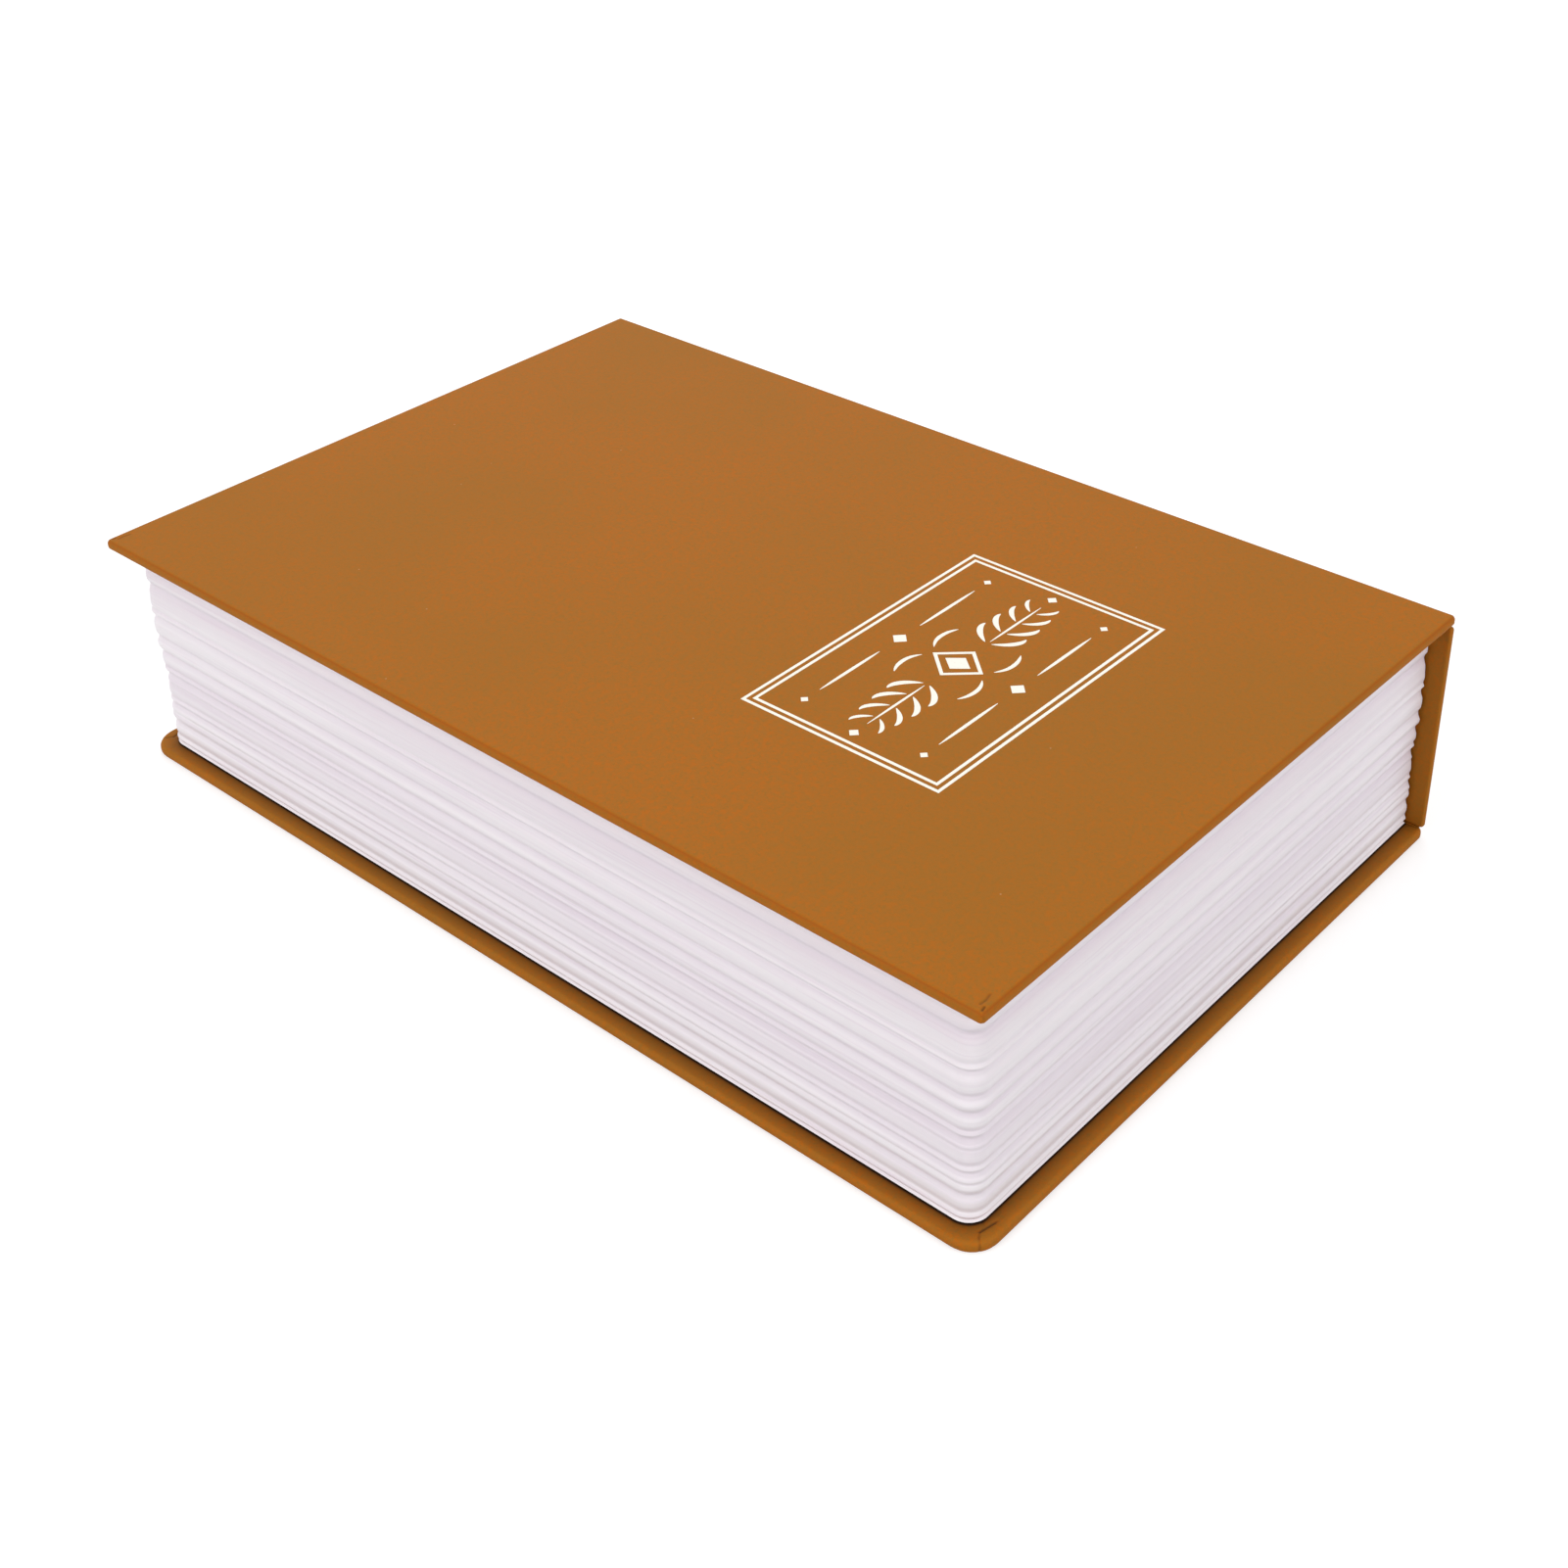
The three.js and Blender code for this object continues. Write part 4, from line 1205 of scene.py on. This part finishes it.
class BOOKSAFE_OT_lock_plug(bpy.types.Operator):
    """Turns the lock's plug and sinks its keyway"""
    bl_idname = "book_safe.lock_plug"
    bl_label = "Lock plug"

    def execute(self, context):
        top = PLUG_HIGH.z
        radius = 4.5 * MM
        head_radius = 5.2 * MM
        under = top - 1 * MM
        keyway_depth = 8 * MM
        barrel_bottom = LOCK_LOW.z
        bm = spun((
            (0, barrel_bottom), (radius, barrel_bottom), (radius, under),
            (head_radius, under), (head_radius, top - 0.25 * MM),
            (head_radius - 0.08 * MM, top - 0.07 * MM), (head_radius - 0.25 * MM, top),
        ), 56)
        pocket(bm, self.keyway(), top, keyway_depth)
        rim = [e for e in bm.edges if lies_at(e, top) and e.calc_face_angle(0) > 1]
        round_edges(bm, rim, 0.12 * MM, 2)

        post = 5 * MM
        span = barrel_bottom + 0.8 * MM - PLUG_LOW.z
        square = bmesh.new()
        bmesh.ops.create_cube(square, size=post)
        stretch(square, (1, 1, span / post))
        move(square, (0, 0, PLUG_LOW.z + span / 2))
        round_edges(square, square.edges[:], 0.2 * MM, 2)
        join(bm, square)
        move(bm, (LOCK_X, 0, 0))
        keep_flat(add_piece("lock_plug_turned", bm, "lock_plug", "lock_plating",
                            ("lock_plug",), 50))
        return {"FINISHED"}

    def keyway(self):
        """A slot with round ends, as (x, y) corners."""
        half = 2.6 * MM
        end = 0.6 * MM
        angles = [math.pi * (step / 6 - 0.5) for step in range(7)]
        return [
            (side * (half + end * math.cos(angle)), side * end * math.sin(angle))
            for side in (1, -1) for angle in angles
        ]


class BOOKSAFE_OT_lock_fixings(bpy.types.Operator):
    """Makes the lock's washer and hexagon nut under the lid"""
    bl_idname = "book_safe.lock_fixings"
    bl_label = "Washer and nut"

    def execute(self, context):
        outer = (WASHER_HIGH.x - WASHER_LOW.x) / 2
        low, high = WASHER_LOW.z, WASHER_HIGH.z
        bore = 6.15 * MM
        soft = 0.15 * MM
        washer = spun((
            (bore, low + soft), (bore + soft, low), (outer - soft, low), (outer, low + soft),
            (outer, high - soft), (outer - soft, high), (bore + soft, high), (bore, high - soft),
        ), 64, LOCK_X, closed=True)
        add_piece("lock_washer_stamped", washer, "lid", "plain_steel", ("lock_washer",))

        low, high = NUT_LOW.z, NUT_HIGH.z
        flat = 7 * MM
        mouth = 0.5 * MM
        corner = flat / math.cos(math.pi / 6)
        face = flat - 0.25 * MM
        chamfer = (corner - face) * 0.58
        nut = spun((
            (bore + mouth, low), (face, low), (corner, low + chamfer), (corner, high - chamfer),
            (face, high), (bore + mouth, high), (bore, high - mouth), (bore, low + mouth),
        ), 96, closed=True)
        for side in range(6):
            angle = math.pi / 3 * side + math.pi / 6
            normal = Vector((math.cos(angle), math.sin(angle), 0))
            flat_cut(nut, normal * flat, normal)
        face_out(nut)
        move(nut, (LOCK_X, 0, 0))
        add_piece("lock_nut_hexagon", nut, "lid", "plain_steel", ("lock_nut",), 25)
        return {"FINISHED"}


class BOOKSAFE_OT_cam(bpy.types.Operator):
    """Makes the cam and the cross-head screw that holds it on the plug"""
    bl_idname = "book_safe.cam"
    bl_label = "Cam and screw"

    def execute(self, context):
        softened("lock_cam", "lock_cam_stamped", "lock_plug", "plain_steel")
        screw = self.screw((SCREW_HIGH.x - SCREW_LOW.x) / 2, SCREW_LOW.z, SCREW_HIGH.z)
        move(screw, (LOCK_X, 0, 0))
        keep_flat(add_piece("cam_screw_cross_head", screw, "lock_plug", "plain_steel",
                            ("cam_screw",), 30))
        return {"FINISHED"}

    def screw(self, radius, low, high):
        """A screw with its domed head down, made head up and turned over."""
        under = low + 1.4 * MM
        brow = under - 0.35 * MM
        shank = 1.5 * MM
        flat_angle = math.radians(48)
        dome = [
            (radius * math.cos(angle),
             brow - (brow - low) * math.sin(angle) / math.sin(flat_angle))
            for angle in (flat_angle * step / 6 for step in range(7))
        ]
        bm = spun([
            (0, high), (shank - 0.4 * MM, high), (shank, high - 0.5 * MM), (shank, under),
            (radius, under), *dome], 40)
        arm, half = 1.15 * MM, 0.3 * MM
        cross = [
            (half, half), (half, arm), (-half, arm), (-half, half), (-arm, half), (-arm, -half),
            (-half, -half), (-half, -arm), (half, -arm), (half, -half), (arm, -half), (arm, half),
        ]
        stretch(bm, (1, 1, -1))
        face_out(bm)
        pocket(bm, cross, -low, 0.8 * MM, 0.55)
        stretch(bm, (1, 1, -1))
        face_out(bm)
        return bm


# Stage

class BOOKSAFE_OT_stage(bpy.types.Operator):
    """Sets the white floor, the soft studio light and the camera"""
    bl_idname = "book_safe.stage"
    bl_label = "Studio"

    def execute(self, context):
        studio = settings("studio")
        self.floor()
        self.sky(studio.sky)
        for name, place in LAMPS:
            self.lamp(name + " lamp", getattr(studio, name), place)
        data = bpy.data.cameras.new("camera")
        data.sensor_width = 36
        data.lens = studio.lens
        data.shift_x, data.shift_y = CAMERA_SHIFT
        data.clip_start = 0.01
        camera = bpy.data.objects.new("camera", data)
        camera.location = CAMERA_PLACE
        camera.rotation_euler = CAMERA_ANGLES
        context.scene.collection.objects.link(camera)
        context.scene.camera = camera
        context.scene.view_settings.view_transform = "Standard"
        return {"FINISHED"}

    def floor(self):
        """A floor that looks white but takes the object's shadow."""
        grey = 0.55
        glow = 0.6
        gap = 0.02 * MM
        bm = bmesh.new()
        bmesh.ops.create_circle(bm, cap_ends=True, segments=64, radius=4)
        move(bm, (0, 0, -gap))
        white = Finish("white floor")
        white.surface({
            "Base Color": (grey, grey, grey), "Roughness": 0.9, "Specular IOR Level": 0.1,
            "Emission Color": (1, 1, 1),
            "Emission Strength": white.math("MULTIPLY", white.seen(), glow)})
        add_piece("floor", bm, None, None, finish=white.material)

    def sky(self, strength):
        """An even light that itself looks white."""
        world = bpy.data.worlds.new("studio")
        world.use_nodes = True
        bpy.context.scene.world = world
        sky = Nodes(world.node_tree)
        ground = sky.tree.nodes["Background"]
        sky.feed(ground.inputs["Color"], (1, 1, 1))
        sky.feed(ground.inputs["Strength"], sky.scaled(sky.seen(), strength, 1))

    def lamp(self, name, watts, place):
        data = bpy.data.lights.new(name, "AREA")
        data.energy = watts
        data.size = LAMP_SIZE
        lamp = bpy.data.objects.new(name, data)
        lamp.location = place
        lamp.rotation_euler = (LAMP_TARGET - place).to_track_quat("-Z", "Y").to_euler()
        bpy.context.scene.collection.objects.link(lamp)


SETTINGS = {
    "cover": CoverSettings,
    "page": PageSettings,
    "title": TitleSettings,
    "metal": MetalSettings,
    "finish": FinishSettings,
    "studio": StudioSettings,
}
OPERATORS = (
    BOOKSAFE_OT_cover_wraps,
    BOOKSAFE_OT_creases,
    BOOKSAFE_OT_boards,
    BOOKSAFE_OT_title,
    BOOKSAFE_OT_page_block,
    BOOKSAFE_OT_steel_box,
    BOOKSAFE_OT_hinge_rod,
    BOOKSAFE_OT_rivets,
    BOOKSAFE_OT_lock_housing,
    BOOKSAFE_OT_lock_plug,
    BOOKSAFE_OT_lock_fixings,
    BOOKSAFE_OT_cam,
    BOOKSAFE_OT_stage,
)


class BOOKSAFE_PT_panel(bpy.types.Panel):
    """Lists the pieces of the safe and their sizes and colours"""
    bl_label = "Book safe"
    bl_idname = "BOOKSAFE_PT_panel"
    bl_space_type = "VIEW_3D"
    bl_region_type = "UI"
    bl_category = "Book safe"

    def draw(self, context):
        for operator in OPERATORS:
            self.layout.operator(operator.bl_idname)
        for part in SETTINGS:
            group = settings(part)
            box = self.layout.box()
            for name in group.bl_rna.properties.keys():
                if name not in ("rna_type", "name"):
                    box.prop(group, name)


def register():
    for part, group in SETTINGS.items():
        bpy.utils.register_class(group)
        pointer = bpy.props.PointerProperty(type=group)
        setattr(bpy.types.Scene, "book_safe_" + part, pointer)
    for cls in (*OPERATORS, BOOKSAFE_PT_panel):
        bpy.utils.register_class(cls)


def unregister():
    for cls in (BOOKSAFE_PT_panel, *reversed(OPERATORS)):
        bpy.utils.unregister_class(cls)
    for part, group in SETTINGS.items():
        delattr(bpy.types.Scene, "book_safe_" + part)
        bpy.utils.unregister_class(group)


def main():
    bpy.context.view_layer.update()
    register()
    bpy.ops.book_safe.cover_wraps()
    bpy.ops.book_safe.creases()
    bpy.ops.book_safe.boards()
    bpy.ops.book_safe.title()
    bpy.ops.book_safe.page_block()
    bpy.ops.book_safe.steel_box()
    bpy.ops.book_safe.hinge_rod()
    bpy.ops.book_safe.rivets()
    bpy.ops.book_safe.lock_housing()
    bpy.ops.book_safe.lock_plug()
    bpy.ops.book_safe.lock_fixings()
    bpy.ops.book_safe.cam()
    bpy.ops.book_safe.stage()


if __name__ == "__main__":
    main()
